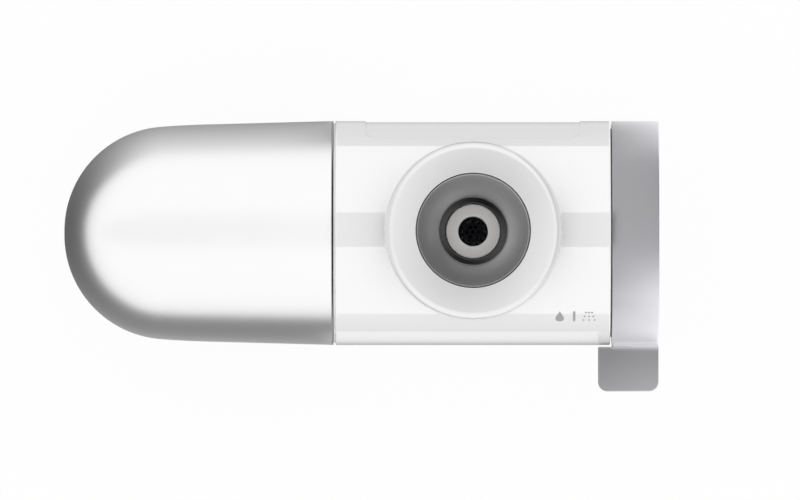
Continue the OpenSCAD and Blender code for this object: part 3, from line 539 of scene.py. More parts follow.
# The dish falls as depth = dish * (1 - share^power). A flute is a circle of twice its depth, cut into
# the wall
def makeCollar():
    low, high = nodeSpan("collar_nut")
    outerR, top, foot = high[0], high[2], low[2]
    mouthR, threadR, rimRound, zone = (collar[key] for key in ("mouthR", "threadR", "rimRound", "wallZone"))
    rimR, startR = outerR - rimRound, mouthR + collar["mouthRound"]
    share = np.linspace(0, 1, collar["faceSteps"])
    fall = collar["dish"] * (1 - share ** collar["dishPower"])
    face = np.stack([top - fall, startR + (rimR - startR) * share], 1)
    slope = np.linspace(0, math.pi / 2, collar["rimSteps"])[1:]
    rim = np.stack([top - rimRound * (1 - np.cos(slope)), rimR + rimRound * np.sin(slope)], 1)
    stop = top - rimRound - collar["fluteStop"]
    levels = [rim[-1, 0], stop, stop - collar["fluteRun"], foot + zone]
    rows = [np.linspace(*ends)[1:] for ends in zip(levels, levels[1:], collar["wallSteps"])]
    wall = np.stack([np.concatenate(rows), np.full(sum(map(len, rows)), outerR)], 1)
    lipFoot = top - collar["lip"]
    under = filletPath([(foot + zone, outerR, 0), (foot, outerR, smallRound), (foot, threadR, smallRound),
                        (lipFoot, threadR, 0), (lipFoot, mouthR, smallRound),
                        (face[0, 0], mouthR, collar["mouthRound"]), (*face[1], 0)])[1:-1]
    path = np.concatenate([face[1:], rim, wall, under])
    height, radius = path[:, :1], path[:, 1:]
    t = circle(collar["flutes"] * collar["turnsPerFlute"])
    points = turnedZ(path, len(t))
    pitch = math.tau / collar["flutes"]
    across = ((t + pitch / 2) % pitch - pitch / 2) * outerR
    cutR = 2 * collar["fluteDepth"]
    depth = np.maximum(np.sqrt(np.maximum(cutR ** 2 - across ** 2, 0)) - cutR / 2, 0)
    below = np.clip((stop - height) / collar["fluteRun"], 0, 1)
    runOut = np.where(radius > outerR - zone, np.sqrt(1 - (1 - below) ** 2), 0)
    points[:, :, :2] *= (1 - runOut * depth / outerR)[:, :, None]
    nut = makePiece("collarNut", [shell(points, wrapRows=True)], "collarWhite", "collar", "white_gloss",
                    "collar_nut")
    # mask of the lighter colour, painted light and shade: 1 on a painted highlight round the rim, 0 outside
    # it as a painted shade line, and across the dish the plain tone falls to 0 at the mouth as painted
    # shade; the highlight is drawn in and dimmer at the left and right, and drawn out at the front
    side = np.cos(t) ** collar["sidePower"]
    off = radius - collar["highlightR"] + collar["highlightIn"] * side - collar["highlightOut"] * np.maximum(-np.sin(t), 0)
    highlight = np.clip(0.5 - (np.abs(off) - collar["highlightW"] / 2) / collar["highlightFade"], 0, 1)
    highlight *= 1 - collar["highlightDim"] * side
    plain = collar["plainTone"] * np.clip((radius - mouthR) / (rimR - mouthR), 0, 1) * (off < 0)
    setMask(nut, np.where(height > top - rimRound, np.maximum(highlight, plain), collar["wallTone"]).ravel())


makeCollar()


# Adapter: funnel, tap thread as a helical groove, ledge for the washer
adapter = {"boreR": 6.85, "bodyR": 13.95, "mouthR": 14.1, "flangeT": 1.6, "flangeGap": 0.05,
           "funnelFootR": 8.76, "funnelLen": 5.7, "funnelSteps": 16, "bowl": 0.4, "edge": 0.2,
           "threadR": 8.46, "threadDepth": 0.5, "threadPitch": 1.0, "threadFade": 0.8, "threadSteps": 90,
           "reliefR": 8.86, "washerT": 2.0, "ledgeT": 1.5, "ledgeRound": 0.15,
           # tones of the funnel's mask: painted light lobes and painted shade; plainTone is the even tone
           # off the funnel
           "plainTone": 0.31, "footTone": 0.73, "footLobe": 0.29, "footTurn": 166.0,
           "mouthTone": 0.34, "mouthLobe": 0.345, "mouthTurn": 65.0, "mouthPair": 0.13}


# The funnel's wall from its foot to its mouth: a straight cone mixed with a quarter round by the bowl share
def funnelWall(foot, top):
    u = np.linspace(0, 1, adapter["funnelSteps"])
    bowl, footR = adapter["bowl"], adapter["funnelFootR"]
    out = (1 - bowl) * u + bowl * np.sin(u * math.pi / 2)
    up = (1 - bowl) * u + bowl * (1 - np.cos(u * math.pi / 2))
    radius = footR + (adapter["mouthR"] - adapter["edge"] - footR) * out
    return [(h, r, 0) for h, r in zip(foot + (top - foot) * up, radius)]


# The thread's wall: radius = crest + depth * groove
def makeAdapter():
    low, high = nodeSpan("faucet_adapter")
    top, foot, flangeR = high[2], low[2], high[0]
    mouthR, footR, edge = adapter["mouthR"], adapter["funnelFootR"], adapter["edge"]
    wallR, boreR, reliefR, threadR = (adapter[key] for key in ("bodyR", "boreR", "reliefR", "threadR"))
    flangeTop = nodeSpan("slip_washer")[0][2] - adapter["flangeGap"]
    flangeFoot = flangeTop - adapter["flangeT"]
    funnelFoot = top - adapter["funnelLen"]
    threadTop = funnelFoot - (footR - threadR)
    ledge = foot + adapter["ledgeT"]
    seat = ledge + adapter["washerT"]
    upper = filletPath([(threadTop, threadR, 0)] + funnelWall(funnelFoot, top) + [
        (top - edge, mouthR, fineRound), (flangeTop, mouthR, fineRound), (flangeTop, flangeR, smallRound),
        (flangeFoot, flangeR, smallRound), (flangeFoot, wallR, fineRound), (foot, wallR, plainRound),
        (foot, boreR, smallRound), (ledge, boreR, adapter["ledgeRound"]), (ledge, reliefR, fineRound),
        (seat, reliefR, 0)])
    height = np.linspace(seat, threadTop, adapter["threadSteps"])
    path = np.concatenate([upper, np.stack([height, np.full(len(height), threadR)], 1)[:-1]])
    points = turnedZ(path)
    t = circle(points.shape[1])
    groove = threadWave(height, seat, threadTop, adapter["threadPitch"], adapter["threadFade"], t)[:-1]
    crest = threadR + adapter["threadDepth"] * groove
    points[len(upper):, :, 0] = crest * np.cos(t)
    points[len(upper):, :, 1] = crest * np.sin(t)
    piece = makePiece("faucetAdapter", [shell(points, wrapRows=True)], "turnedGrey", "housing",
                      "adapter_grey", "faucet_adapter")
    # mask of the darker grey on the funnel, painted light and shade: two painted light lobes at its foot,
    # one painted light side at its mouth, and painted shade between them
    u = np.clip((path[:, 1:] - footR) / (mouthR - footR), 0, 1)
    pair = np.cos(2 * (t - math.radians(adapter["footTurn"])))
    lobe = np.cos(t - math.radians(adapter["mouthTurn"]))
    atFoot = adapter["footTone"] - adapter["footLobe"] * pair
    atMouth = adapter["mouthTone"] - adapter["mouthLobe"] * lobe + adapter["mouthPair"] * pair
    onFunnel = (path[:, :1] > funnelFoot - edge) & (path[:, 1:] < mouthR - edge / 2)
    setMask(piece, np.where(onFunnel, atFoot + u * (atMouth - atFoot), adapter["plainTone"]).ravel())


makeAdapter()


# Plain rings with round edges, turned about the inlet axis
inletRings = [                              # (node, name, bore radius, round, finish, body, slot)
    ("faucet_washer", "faucetWasher", 6.9, 0.25, "washerSatin", "housing", "black_rubber"),
    ("inlet_bush", "inletBush", 3.7, 0.35, "bushGrey", "housing", "bush_grey"),
    ("slip_washer", "slipWasher", 14.25, 0.08, "nylonNatural", "slip", "nylon"),
]


def makeInletRings():
    for node, name, boreR, edge, finish, body, slot in inletRings:
        low, high = nodeSpan(node)
        path = filletPath([(low[2], boreR, edge), (high[2], boreR, edge), (high[2], high[0], edge),
                           (low[2], high[0], edge)], closed=True)
        makePiece(name, [shell(turnedZ(path), wrapRows=True)], finish, body, slot, node)


makeInletRings()


# Inlet neck: cup with the collar's thread outside, which shows when the collar is unscrewed
neck = {"cupR": 15.85, "boreR": 14.25, "holeR": 6.85, "floorT": 2.5, "threadR": 17.35, "threadDepth": 0.45,
        "pitch": 1.5, "threadLen": 3.4, "threadFade": 0.5, "threadSteps": 50}


# The thread's wall: radius = crest - depth * groove
def makeNeck():
    low, high = nodeSpan("inlet_neck")
    foot, top = low[2], high[2]
    start, floor = top - neck["threadLen"], foot + neck["floorT"]
    cupR, boreR, holeR, threadR = (neck[key] for key in ("cupR", "boreR", "holeR", "threadR"))
    cup = filletPath([(top, threadR, 0), (top, boreR, smallRound), (floor, boreR, softRound),
                      (floor, holeR, smallRound), (foot, holeR, smallRound), (foot, cupR, smallRound),
                      (start, cupR, fineRound), (start, threadR, 0)])
    height = np.linspace(start, top, neck["threadSteps"])[1:-1]
    points = turnedZ(np.concatenate([cup, np.stack([height, np.full(len(height), threadR)], 1)]))
    groove = threadWave(height, start, top, neck["pitch"], neck["threadFade"], circle(points.shape[1]))
    points[len(cup):, :, :2] *= (1 - neck["threadDepth"] * groove / threadR)[:, :, None]
    makePiece("inletNeck", [shell(points, wrapRows=True)], "paleGrey", "housing", "valve_grey",
              "inlet_neck")


makeNeck()


# Outlets below the body: closed profiles of (height from the body's axis, radius, fillet), turned about
# an upright axis
outlets = [
    {"node": "outlet_stem", "name": "outletStem", "x": 0.0, "finish": "paleGrey", "slot": "valve_grey",
     "profile": [(-34, 5.8, 0.1), (-34, 12.5, 0.3), (-30.5, 12.5, 0.1), (-30.5, 15, 0.3), (-29, 15, 0.2),
                 (-29, 12.5, 0.1), (-15.1, 12.5, 0.4), (-15.1, 3.7, 0.2), (-31.5, 3.7, 0.1),
                 (-31.5, 5.8, 0.1)]},
    {"node": "spray_ring", "name": "sprayRing", "x": 0.0, "finish": "whiteGloss", "slot": "white_gloss",
     "profile": [(-36.15, 11.6, 0.25), (-36.15, 15.5, 0.9), (-30.55, 15.5, 0.4), (-30.55, 12.55, 0.2),
                 (-35.25, 12.55, 0.1), (-35.25, 11.6, 0.1)]},
    {"node": "stream_aerator", "name": "streamAerator", "x": 0.0, "finish": "bushGrey", "slot": "bush_grey",
     "profile": [(-36.15, 4.1, 0.3), (-36.15, 5, 0.3), (-34, 5, 0.1), (-34, 5.7, 0.1), (-32.8, 5.7, 0.2),
                 (-32.8, 3.2, 0.1), (-33.6, 3.2, 0.1), (-33.6, 4.1, 0.1)]},
    {"node": "purified_spout", "name": "purifiedSpout", "x": spoutX, "finish": "whiteGloss",
     "slot": "white_gloss",
     "profile": [(-35, 2.6, 0.4), (-35, 4.6, 0.6), (-30.4, 4.6, 0.4), (-30.4, 6.8, 0.35), (-29, 6.8, 0.2),
                 (-29, 4.6, 0.1), (-21.65, 4.6, 0.2), (-21.65, 3.6, 0.1), (-15.7, 3.6, 0.3),
                 (-15.7, 2.6, 0.2)]},
]


def makeOutlets():
    for outlet in outlets:
        path = filletPath(outlet["profile"], closed=True) + np.array([axisZ, 0])
        points = turnedZ(path, centreX=outlet["x"])
        makePiece(outlet["name"], [shell(points, wrapRows=True)], outlet["finish"], "housing",
                  outlet["slot"], outlet["node"])


makeOutlets()


# Woven screen of the stream outlet
screen = {"pitch": 0.62, "relief": 0.16, "rings": 44, "turns": 160}


# Both faces of the disc: height = face - relief * (1 - (cos^2(pi x / pitch) + cos^2(pi y / pitch)) / 2)
def makeScreen():
    low, high = nodeSpan("aerator_screen")
    radius = np.linspace(0, high[0], screen["rings"])[:, None]
    t = circle(screen["turns"])
    x, y = radius * np.cos(t), radius * np.sin(t)
    wires = np.cos(math.pi * x / screen["pitch"]) ** 2 + np.cos(math.pi * y / screen["pitch"]) ** 2
    sink = screen["relief"] * (1 - wires / 2)
    top, under = np.stack([x, y, high[2] - sink], -1), np.stack([x, y, low[2] + sink], -1)
    makePiece("aeratorScreen", [shell(np.concatenate([top, under[::-1]]))], "plainSteel", "housing",
              "steel", "aerator_screen")


makeScreen()


# Lever: ring with a wall, finger tab with round corners, and a hub behind the wall
lever = {"round": 0.35, "seamRound": 0.12, "seamGap": 0.38, "boreR": 26.15, "wall": 3.0, "hubR": 8.5,
         "hubLen": 7.0, "coverR": 22.05, "coverT": 1.2, "coverTurns": 192,
         "tabW": 15.1, "tabT": 6.5, "tabCorner": 2.4, "tabEdge": 0.25, "tabGap": 0.5, "tipSteps": 22,
         "thinShare": 0.9, "rootInset": 0.06, "rootLead": 0.6, "rootSteps": 9, "nick": 0.3, "nickSteps": 5,
         "besideRows": (0.45, 1.3, 6), "plainRow": 2.0, "blend": 2.2, "blendSeat": 0.45, "blendShare": 0.98,
         "acrossShares": (0.985, 0.36, 0.26, 0.235, 0.21, 0.185, 0.16, 0.015)}
# Tones of the lever's mask, painted shade and painted light: a darker tab that drifts lighter towards its
# tip, a ring tone that drifts along x, a band of painted shade on the ring and painted light towards its
# front
leverTones = {"fadeStart": -0.3, "fadeLen": 1.4, "tab": 0.86, "tabMiddle": (38.8, -34.5),
              "tabDrift": (-0.016, 0.0175), "ring": 0.42, "ringMiddle": 41.0, "ringDrift": -0.036,
              "paintedShade": 0.12, "paintedShadeY": -12.0, "paintedShadeW": 4.0, "lightY": -18.5, "lightW": 8.0}


# Section of the tab at one reach: a rectangle in x and z with round edges, from angles and shares of its
# width. Where it meets the ring, right of the body's end, both faces swell outward by a smooth step
def tabSection(left, right, halfT, edge, swell=0.0, steps=6):
    quarter = math.pi / 2
    turn = np.linspace(0, quarter, steps + 1)
    centres = [(right - edge, halfT - edge), (left + edge, halfT - edge), (left + edge, edge - halfT),
               (right - edge, edge - halfT)]
    arcs = [np.stack([cx + edge * np.cos(turn + k * quarter), cz + edge * np.sin(turn + k * quarter)], 1)
            for k, (cx, cz) in enumerate(centres)]
    across = left + edge + (right - left - 2 * edge) * np.array(lever["acrossShares"])
    top = np.stack([across, np.full(len(across), halfT)], 1)
    section = np.concatenate([arcs[0], top, arcs[1], arcs[2], top[::-1] * (1, -1), arcs[3]])
    beside = np.clip(section[:, 0] - bodyRight, 0, 1)
    section[:, 1] += np.sign(section[:, 1]) * swell * smoothStep(beside)
    return section


# The tab is lofted along its reach: its width closes in at the tip as corner - sqrt(corner^2 - d^2),
# its thickness swells near the ring as blend - sqrt(blend^2 - d^2)
def fingerTab():
    low, high = nodeSpan("lever_cap")
    right, left = high[0], high[0] - lever["tabW"]
    rootLeft, rootRight = bodyRight + lever["seamGap"] + lever["rootInset"], right - lever["rootInset"]
    tip, start = low[1], -(bodyR + lever["tabGap"])
    halfT, corner, edge = lever["tabT"] / 2, lever["tabCorner"], lever["tabEdge"]
    nick, blend, lead = lever["nick"], lever["blend"], lever["rootLead"]

    def swell(y):
        rise = np.clip((y + bodyR + blend - lever["blendSeat"]) / blend, 0, 1)
        return blend * (1 - math.sqrt(1 - lever["blendShare"] * rise ** 2))

    # how far an edge of this round has closed in, at a distance short of its end
    def closing(size, away):
        return size - math.sqrt(max(size ** 2 - max(size - away, 0) ** 2, 0))

    sections, reach = [], []
    root = np.linspace(lead - bodyR, start, lever["rootSteps"])
    for y in np.concatenate([[-(lever["boreR"] + lead)], root]):
        sections.append(tabSection(rootLeft, rootRight, halfT, edge, swell(y)))
        reach.append(y)
    for d in np.concatenate([np.linspace(0, nick, lever["nickSteps"]), np.linspace(*lever["besideRows"]),
                             [lever["plainRow"]]]):
        sections.append(tabSection(left + closing(nick, d), right, halfT, edge, swell(start - d)))
        reach.append(start - d)
    for turn in np.linspace(0, math.pi / 2, lever["tipSteps"]):
        away, inset = corner * (1 - math.sin(turn)), corner * (1 - math.cos(turn))
        thin = closing(edge, away)
        tipEdge = edge - lever["thinShare"] * thin
        sections.append(tabSection(left + inset, right - inset, halfT - thin, tipEdge))
        reach.append(tip + away)
    rows = np.stack(sections)
    along = np.array(reach)[:, None] + np.zeros(rows.shape[1])
    points = np.stack([rows[:, :, 0], along, axisZ + rows[:, :, 1]], -1)
    poles = [np.repeat(end.mean(axis=1, keepdims=True), points.shape[1], 1)
             for end in (points[:1], points[-1:])]
    return shell(np.concatenate([poles[0], points, poles[1]]))


# Share of the darker grey at each point, painted shade and painted light: on the ring it drifts along x,
# has a band of painted shade and falls to 0 towards the tab as painted light; the tab's own share is
# darker, drifts over its face as painted shade, lighter towards its tip and right edge, and fades to the
# ring's where it leaves it
def leverShare(mesh):
    spots = np.empty(3 * len(mesh.vertices))
    mesh.vertices.foreach_get("co", spots)
    x, y = spots[0::3] / mm, spots[1::3] / mm
    tones = leverTones
    fade = np.clip((-y - bodyR - tones["fadeStart"]) / tones["fadeLen"], 0, 1)
    (middleX, middleY), (driftX, driftY) = tones["tabMiddle"], tones["tabDrift"]
    tab = tones["tab"] + driftX * (x - middleX) + driftY * (y - middleY)
    light = np.clip((tones["lightY"] - y) / tones["lightW"], 0, 1)
    ring = tones["ring"] + tones["ringDrift"] * (x - tones["ringMiddle"])
    ring = (ring + tones["paintedShade"] * np.exp(-((y - tones["paintedShadeY"]) / tones["paintedShadeW"]) ** 2)) * (1 - light)
    return np.clip(ring + fade * (tab - ring), 0, 1)


def makeLever():
    low, high = nodeSpan("lever_cap")
    left, right = bodyRight + lever["seamGap"], high[0]
    wallX, coverX, hubX = right - lever["wall"], right - lever["coverT"], low[0] + lever["hubLen"]
    boreR, hubR, coverR = lever["boreR"], lever["hubR"], lever["coverR"]
    path = filletPath([(coverX, 0, 0), (coverX, coverR, fineRound), (right, coverR, smallRound),
                       (right, bodyR, lever["round"]), (left, bodyR, lever["seamRound"]),
                       (left, boreR, smallRound), (wallX, boreR, deepRound), (wallX, hubR, deepRound),
                       (hubX, hubR, plainRound), (hubX, 0, 0)])
    cap = makePiece("leverCap", [shell(turnedX(path)), fingerTab()], "leverSatin", "lever", "lever_grey",
                    "lever_cap")
    setMask(cap, leverShare(cap.data))
    low, high = nodeSpan("end_cover")
    disc = filletPath([(low[0], 0, 0), (low[0], high[1], fineRound), (high[0], high[1], plainRound),
                       (high[0], 0, 0)])
    cover = makePiece("endCover", [shell(turnedX(disc, lever["coverTurns"]))], "leverSatin", "lever",
                      "lever_grey", "end_cover")
    setMask(cover, np.full(len(cover.data.vertices), leverTones["ring"]))


makeLever()


# Spigot for the dome, with the groove of its grip ring and the cartridge's socket, as a turned profile
spigot = {"wall": 2.4, "hubR": 11.0, "nippleR": 7.05, "backX": -31.3, "hubX": -37.8}
sealGroove = {"size": 1.26, "clear": 0.03}  # the groove that holds a seal cord


# Corners of a square groove for a seal cord, cut into a wall of this radius
def groovePath(seal, wallR):
    start, floorR = nodeSpan(seal)[0][0] - sealGroove["clear"], wallR - sealGroove["size"]
    end = start + sealGroove["size"]
    return [(start, wallR, fineRound), (start, floorR, fineRound), (end, floorR, fineRound),
            (end, wallR, fineRound)]


def makeSpigot():
    low, high = nodeSpan("cartridge_socket")
    outerR, boreR = high[1], high[1] - spigot["wall"]
    back, hub, nippleR, hubR = (spigot[key] for key in ("backX", "hubX", "nippleR", "hubR"))
    path = filletPath([(back, 0, 0), (back, nippleR, fineRound), (hub, nippleR, softRound),
                       (hub, hubR, plainRound), (back, hubR, softRound), (back, boreR, softRound),
                       (low[0], boreR, softRound), (low[0], outerR, softRound),
                       *groovePath("grip_ring", outerR), (high[0], outerR, smallRound), (high[0], 0, 0)])
    makePiece("cartridgeSocket", [shell(turnedX(path))], "innerWhite", "housing", "white_inner",
              "cartridge_socket")


makeSpigot()


# Thin dark ring let into the dome beside its rim, a dark thing put there as painted shade for the line at
# the left seam: black on the crown, and grey = (|y| / greyY)^power towards the front and back as a painted
# reflection
seamShade = {"clear": 0.005, "sink": 0.03, "round": 0.04, "greyY": 22.0, "power": 5.0}


def makeSeamShade():
    left = domeHigh[0] - dome["lineStart"] + seamShade["clear"]
    right = domeHigh[0] - dome["lineEnd"] - seamShade["clear"]
    low, high = bodyR - dome["lineDepth"] + seamShade["clear"], bodyR - seamShade["sink"]
    path = filletPath([(left, low, 0), (left, high, seamShade["round"]), (right, high, seamShade["round"]),
                       (right, low, 0)], closed=True)
    points = turnedX(path)
    ring = makePiece("seamShadeRing", [shell(points, wrapRows=True)], "seamShadeBlack", "dome", "black_rubber")
    setMask(ring, np.clip(np.abs(points[:, :, 1].ravel()) / seamShade["greyY"], 0, 1) ** seamShade["power"])


makeSeamShade()


# Cartridge case: the dome's own curve drawn in, cut flat at the tip and held to one radius along the sleeve
case = {"inset": 3.0, "wall": 1.6, "tipRound": 0.8, "endRound": 0.3, "tipClear": 0.3, "sideClear": 0.02,
        "bendLen": 2.0}


# The curve between the flat tip and the sleeve, as corners with the tip's own round
def caseSide(inset, tipX, limitR):
    curve = domePath(inset)
    tipR = np.interp(tipX, curve[:, 0], curve[:, 1])
    curve = curve[(curve[:, 0] > tipX + case["tipClear"]) & (curve[:, 1] < limitR - case["sideClear"])]
    return [(tipX, 0, 0), (tipX, tipR, case["tipRound"])] + [(x, r, 0) for x, r in curve]


def makeCase():
    low, high = nodeSpan("cartridge_case")
    tip, end, outerR = low[0], high[0], high[1]
    wall, innerR = case["wall"], outerR - case["wall"]
    outer = caseSide(case["inset"], tip, outerR)
    inner = caseSide(case["inset"] + wall, tip + wall, innerR)
    bend = outer[-1][0] + case["bendLen"]
    corners = outer + [(bend, outerR, 0), *groovePath("case_seal", outerR), (end, outerR, case["endRound"]),
                       (end, innerR, smallRound), (bend, innerR, 0)] + inner[::-1]
    makePiece("cartridgeCase", [shell(turnedX(filletPath(corners)))], "casePale", "cartridge", "case_clear",
              "cartridge_case")


makeCase()


# Seal cords: a circle of half the cord's thickness carried round a ring at each place
sealCord = {"r": 0.6, "sides": 20, "turns": 192}
seals = [                                   # (node, name, body, places along X)
    ("grip_ring", "gripRing", "housing", 1),
    ("case_seal", "caseSeal", "cartridge", 1),
    ("nipple_seals", "nippleSeals", "cartridge", 2),
]


def makeSeals():
    turn, cordR = circle(sealCord["sides"]), sealCord["r"]
    for node, name, body, count in seals:
        low, high = nodeSpan(node)
        places = [(low[0] + high[0]) / 2]
        if count > 1:
            places = np.linspace(low[0] + cordR, high[0] - cordR, count)
        rings = []
        for place in places:
            path = np.stack([place + cordR * np.cos(turn), high[1] - cordR + cordR * np.sin(turn)], 1)
            rings.append(shell(turnedX(path, sealCord["turns"]), wrapRows=True))
        makePiece(name, rings, "blackRubber", body, "black_rubber", node)


makeSeals()


# Printed signs for the lever's settings, plain generic shapes: drop, jet and spray
marks = {"angle": -49.0, "places": (21.6, 25.2, 28.9), "tall": 3.8, "wide": 2.5, "line": 0.32,
         "thick": 0.012, "turns": 64, "dropShare": 0.62, "dropPower": 1.6, "jetPower": 0.5, "dot": 0.28,
         "spread": 1.08, "fan": 0.3, "rowShare": 0.36,
         "rows": ((0, 1), (0.7, 1), (0.97, 1), (1, 0.5), (1, -1), (0, -1))}     # (share of outline, lift)


# A sign is an outline (along, across) about its centre, laid on the cylinder: turn = angle + across / bodyR
def printedSign(outline, centreX, centreV=0.0):
    rows = []
    for share, lift in marks["rows"]:
        along = centreX + share * outline[:, 0]
        turn = math.radians(marks["angle"]) + (centreV + share * outline[:, 1]) / bodyR
        radius = bodyR + lift * marks["thick"]
        rows.append(np.stack([along, radius * np.sin(turn), axisZ + radius * np.cos(turn)], -1))
    return shell(np.stack(rows))


# Drop: along = sin t |sin(t / 2)|^power, across = cos t. Jet: a round bar, along and across
# roots of |cos t| and |sin t| with their signs. Spray: dots in rows that fan out
def makeMarks():
    t = circle(marks["turns"])
    circlePoints = np.stack([np.cos(t), np.sin(t)], 1)
    halfTall = 0.5 * marks["tall"]
    bulge = np.sin(t) * np.abs(np.sin(t / 2)) ** marks["dropPower"]
    drop = np.stack([marks["dropShare"] * marks["wide"] * bulge, halfTall * np.cos(t)], 1)
    jet = np.sign(circlePoints) * np.abs(circlePoints) ** marks["jetPower"] * (marks["line"], halfTall)
    dropX, jetX, sprayX = marks["places"]
    signs = [printedSign(drop, dropX), printedSign(jet, jetX)]
    for row in (-1, 0, 1):
        for column in (-1, 0, 1):
            fan = marks["spread"] * (1 - marks["fan"] * row)
            signs.append(printedSign(marks["dot"] * circlePoints, sprayX + column * fan,
                                     row * marks["rowShare"] * marks["tall"]))
    makePiece("settingMarks", signs, "printGrey", "housing", "lever_grey")


makeMarks()


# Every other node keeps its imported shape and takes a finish
nodeFinishes = {
    "white_inner": "innerWhite", "dark_plastic": "darkPlastic", "steel": "plainSteel",
    "valve_grey": "paleGrey", "black_rubber": "blackRubber", "adapter_grey": "turnedGrey",
    "bush_grey": "bushGrey", "white_gloss": "whiteGloss", "lever_grey": "leverSatin",
    "nylon": "nylonNatural", "case_clear": "casePale", "fleece": "fleeceWhite", "carbon": "carbonBlack",
    "fibre": "fibreWhite", "resin": "resinAmber", "satin_metal": "satinMetal",
}


def dressNodes():
    slots = {part["node"]: part["material_slot"] for part in frame["record"]["subparts"]}
    for node, thing in frame["nodes"].items():
        look = "plateGrey" if node == "bearing_plate" else nodeFinishes[slots[node]]
        thing.data.materials.clear()
        thing.data.materials.append(finishes[look])


dressNodes()
print("nodes dressed", len(frame["nodes"]))


# Camera: a long lens almost straight above, as in the photograph
camera = {"elevation": 89.0, "lens": 1000.0, "sensor": 36.0, "frameWidth": 200.0, "centre": (-18.2, -4.25),
          "clip": (0.1, 40.0)}


def makeCamera():
    data = bpy.data.cameras.new("camera")
    data.lens, data.sensor_width = camera["lens"], camera["sensor"]
    data.clip_start, data.clip_end = camera["clip"]
    eye = newObject("camera", data)
    tilt = math.radians(90 - camera["elevation"])
    distance = camera["frameWidth"] * camera["lens"] / camera["sensor"]
    x, y = camera["centre"]
    eye.location = (x * mm, (y - distance * math.sin(tilt)) * mm, (axisZ + distance * math.cos(tilt)) * mm)
    eye.rotation_euler = (tilt, 0, 0)
    bpy.context.scene.camera = eye


# Stage: pale floor under the lowest point, white to the camera and to reflections, but with its shadow
stage = {"floorSize": 12.0, "floorGrey": 0.88, "whiteShare": 0.93, "skyLevel": 1.08, "cardLift": 0.2}
cardFloor = cadLow.z / mm + stage["cardLift"] - axisZ       # height of the cards that lie on the floor


def bareMaterial(name):
    material = bpy.data.materials.new(name)
    material.use_nodes = True
    material.node_tree.nodes.clear()
    return material, material.node_tree


def mixShaders(tree, share, first, second):
    mix = addNode(tree, "MixShader")
    wire(tree, *zip((share, first.outputs[0], second.outputs[0]), mix.inputs))
    return mix


def coverSurface(tree, shader):
    wire(tree, (shader.outputs[0], addNode(tree, "OutputMaterial").inputs["Surface"]))


def makeFloor():
    half, z = stage["floorSize"] / 2, cadLow.z
    mesh = bpy.data.meshes.new("floor")
    corners = [(-half, -half, z), (half, -half, z), (half, half, z), (-half, half, z)]
    mesh.from_pydata(corners, [], [(0, 1, 2, 3)])
    floor = newObject("floor", mesh)
    material, tree = bareMaterial("floorPale")
    path = addNode(tree, "LightPath").outputs
    seen = mathNode(tree, "MAXIMUM", path["Is Camera Ray"],
                    mathNode(tree, "MAXIMUM", path["Is Glossy Ray"], path["Is Transmission Ray"]))
    paint = addNode(tree, "BsdfDiffuse", Color=(*[stage["floorGrey"]] * 3, 1))
    glow = addNode(tree, "Emission", Strength=1.0)
    shown = mixShaders(tree, mathNode(tree, "MULTIPLY", seen, stage["whiteShare"]), paint, glow)
    under = addNode(tree, "NewGeometry").outputs["Backfacing"]      # from below the floor is clear
    coverSurface(tree, mixShaders(tree, under, shown, addNode(tree, "BsdfTransparent")))
    mesh.materials.append(material)


# Cards that only reflections see, as a photographer's flags, placed in millimetres from the body's axis.
# A card with a reach shows only in surfaces that lie within it, and is clear to the rest
def makeFlag(name, points, grey, reach=None):
    rows, cols = points.shape[:2]
    ids = np.arange(rows * cols).reshape(rows, cols)
    quads = np.stack([ids[:-1, :-1], ids[1:, :-1], ids[1:, 1:], ids[:-1, 1:]], -1).reshape(-1, 4)
    mesh = bpy.data.meshes.new(name)
    mesh.from_pydata((points.reshape(-1, 3) * mm).tolist(), [], quads.tolist())
    shade = mesh.color_attributes.new("grey", "FLOAT_COLOR", "POINT")
    tone = np.ones((rows * cols, 4))
    tone[:, :3] = grey.reshape(-1, 1)
    shade.data.foreach_set("color", tone.ravel())
    card = newObject(name, mesh)
    material, tree = bareMaterial(name)
    tint = addNode(tree, "Attribute")
    tint.attribute_name = "grey"
    front = addNode(tree, "Emission")
    wire(tree, (tint.outputs["Color"], front.inputs["Color"]))
    if reach:
        away = addNode(tree, "LightPath").outputs["Ray Length"]
        near = mathNode(tree, "LESS_THAN", away, reach * mm)
        front = mixShaders(tree, near, addNode(tree, "BsdfTransparent"), front)
    coverSurface(tree, front)
    mesh.materials.append(material)
    card.visible_camera = False
    card.visible_diffuse = False
    card.visible_shadow = False
    card.visible_transmission = False


# A level card on a grid of x and y, with one grey or a grey for each y; spread widens it with y
# as the lens does
def levelFlag(name, x, y, height, grey, spread=0.0, reach=None):
    gridX, gridY = np.meshgrid(x, y)
    gridX += spread * np.abs(gridY) * (gridX - camera["centre"][0])
    points = np.stack([gridX, gridY, np.full(gridX.shape, axisZ + height)], -1)
    makeFlag(name, points, grey + 0 * gridX, reach)


# Black strips close over the body's crown, and a pale one high over the dome
strip = {"x": (22.0, 34.6), "y": (-4.85, 5.85), "height": 31.0, "grey": 0.0, "reach": 4.2}
domeStrip = {"x": (-2600.0, -36.5), "y": (-79.8, 98.5), "height": 300.0, "grey": 0.98}


def makeStrips():
    for name, side in (("rightStrip", 1), ("leftStrip", -1)):
        levelFlag(name, side * np.array(strip["x"]), strip["y"], strip["height"], strip["grey"],
                  reach=strip["reach"])
    levelFlag("domeStrip", *(domeStrip[key] for key in ("x", "y", "height", "grey")))


# Cards on the floor behind and before the body
bodyFlags = {"x": (-36.0, 35.0), "backEnd": 310.0, "backSteps": 40, "backGain": 0.6, "backFrom": 50.0,
             "backFall": 40.0, "backMost": 0.55, "frontD": (28.0, 43.0, 56.0, 70.0, 95.0, 99.0, 925.0),
             "frontGrey": (0.34, 0.46, 0.68, 0.75, 0.75, 0.26, 0.26)}


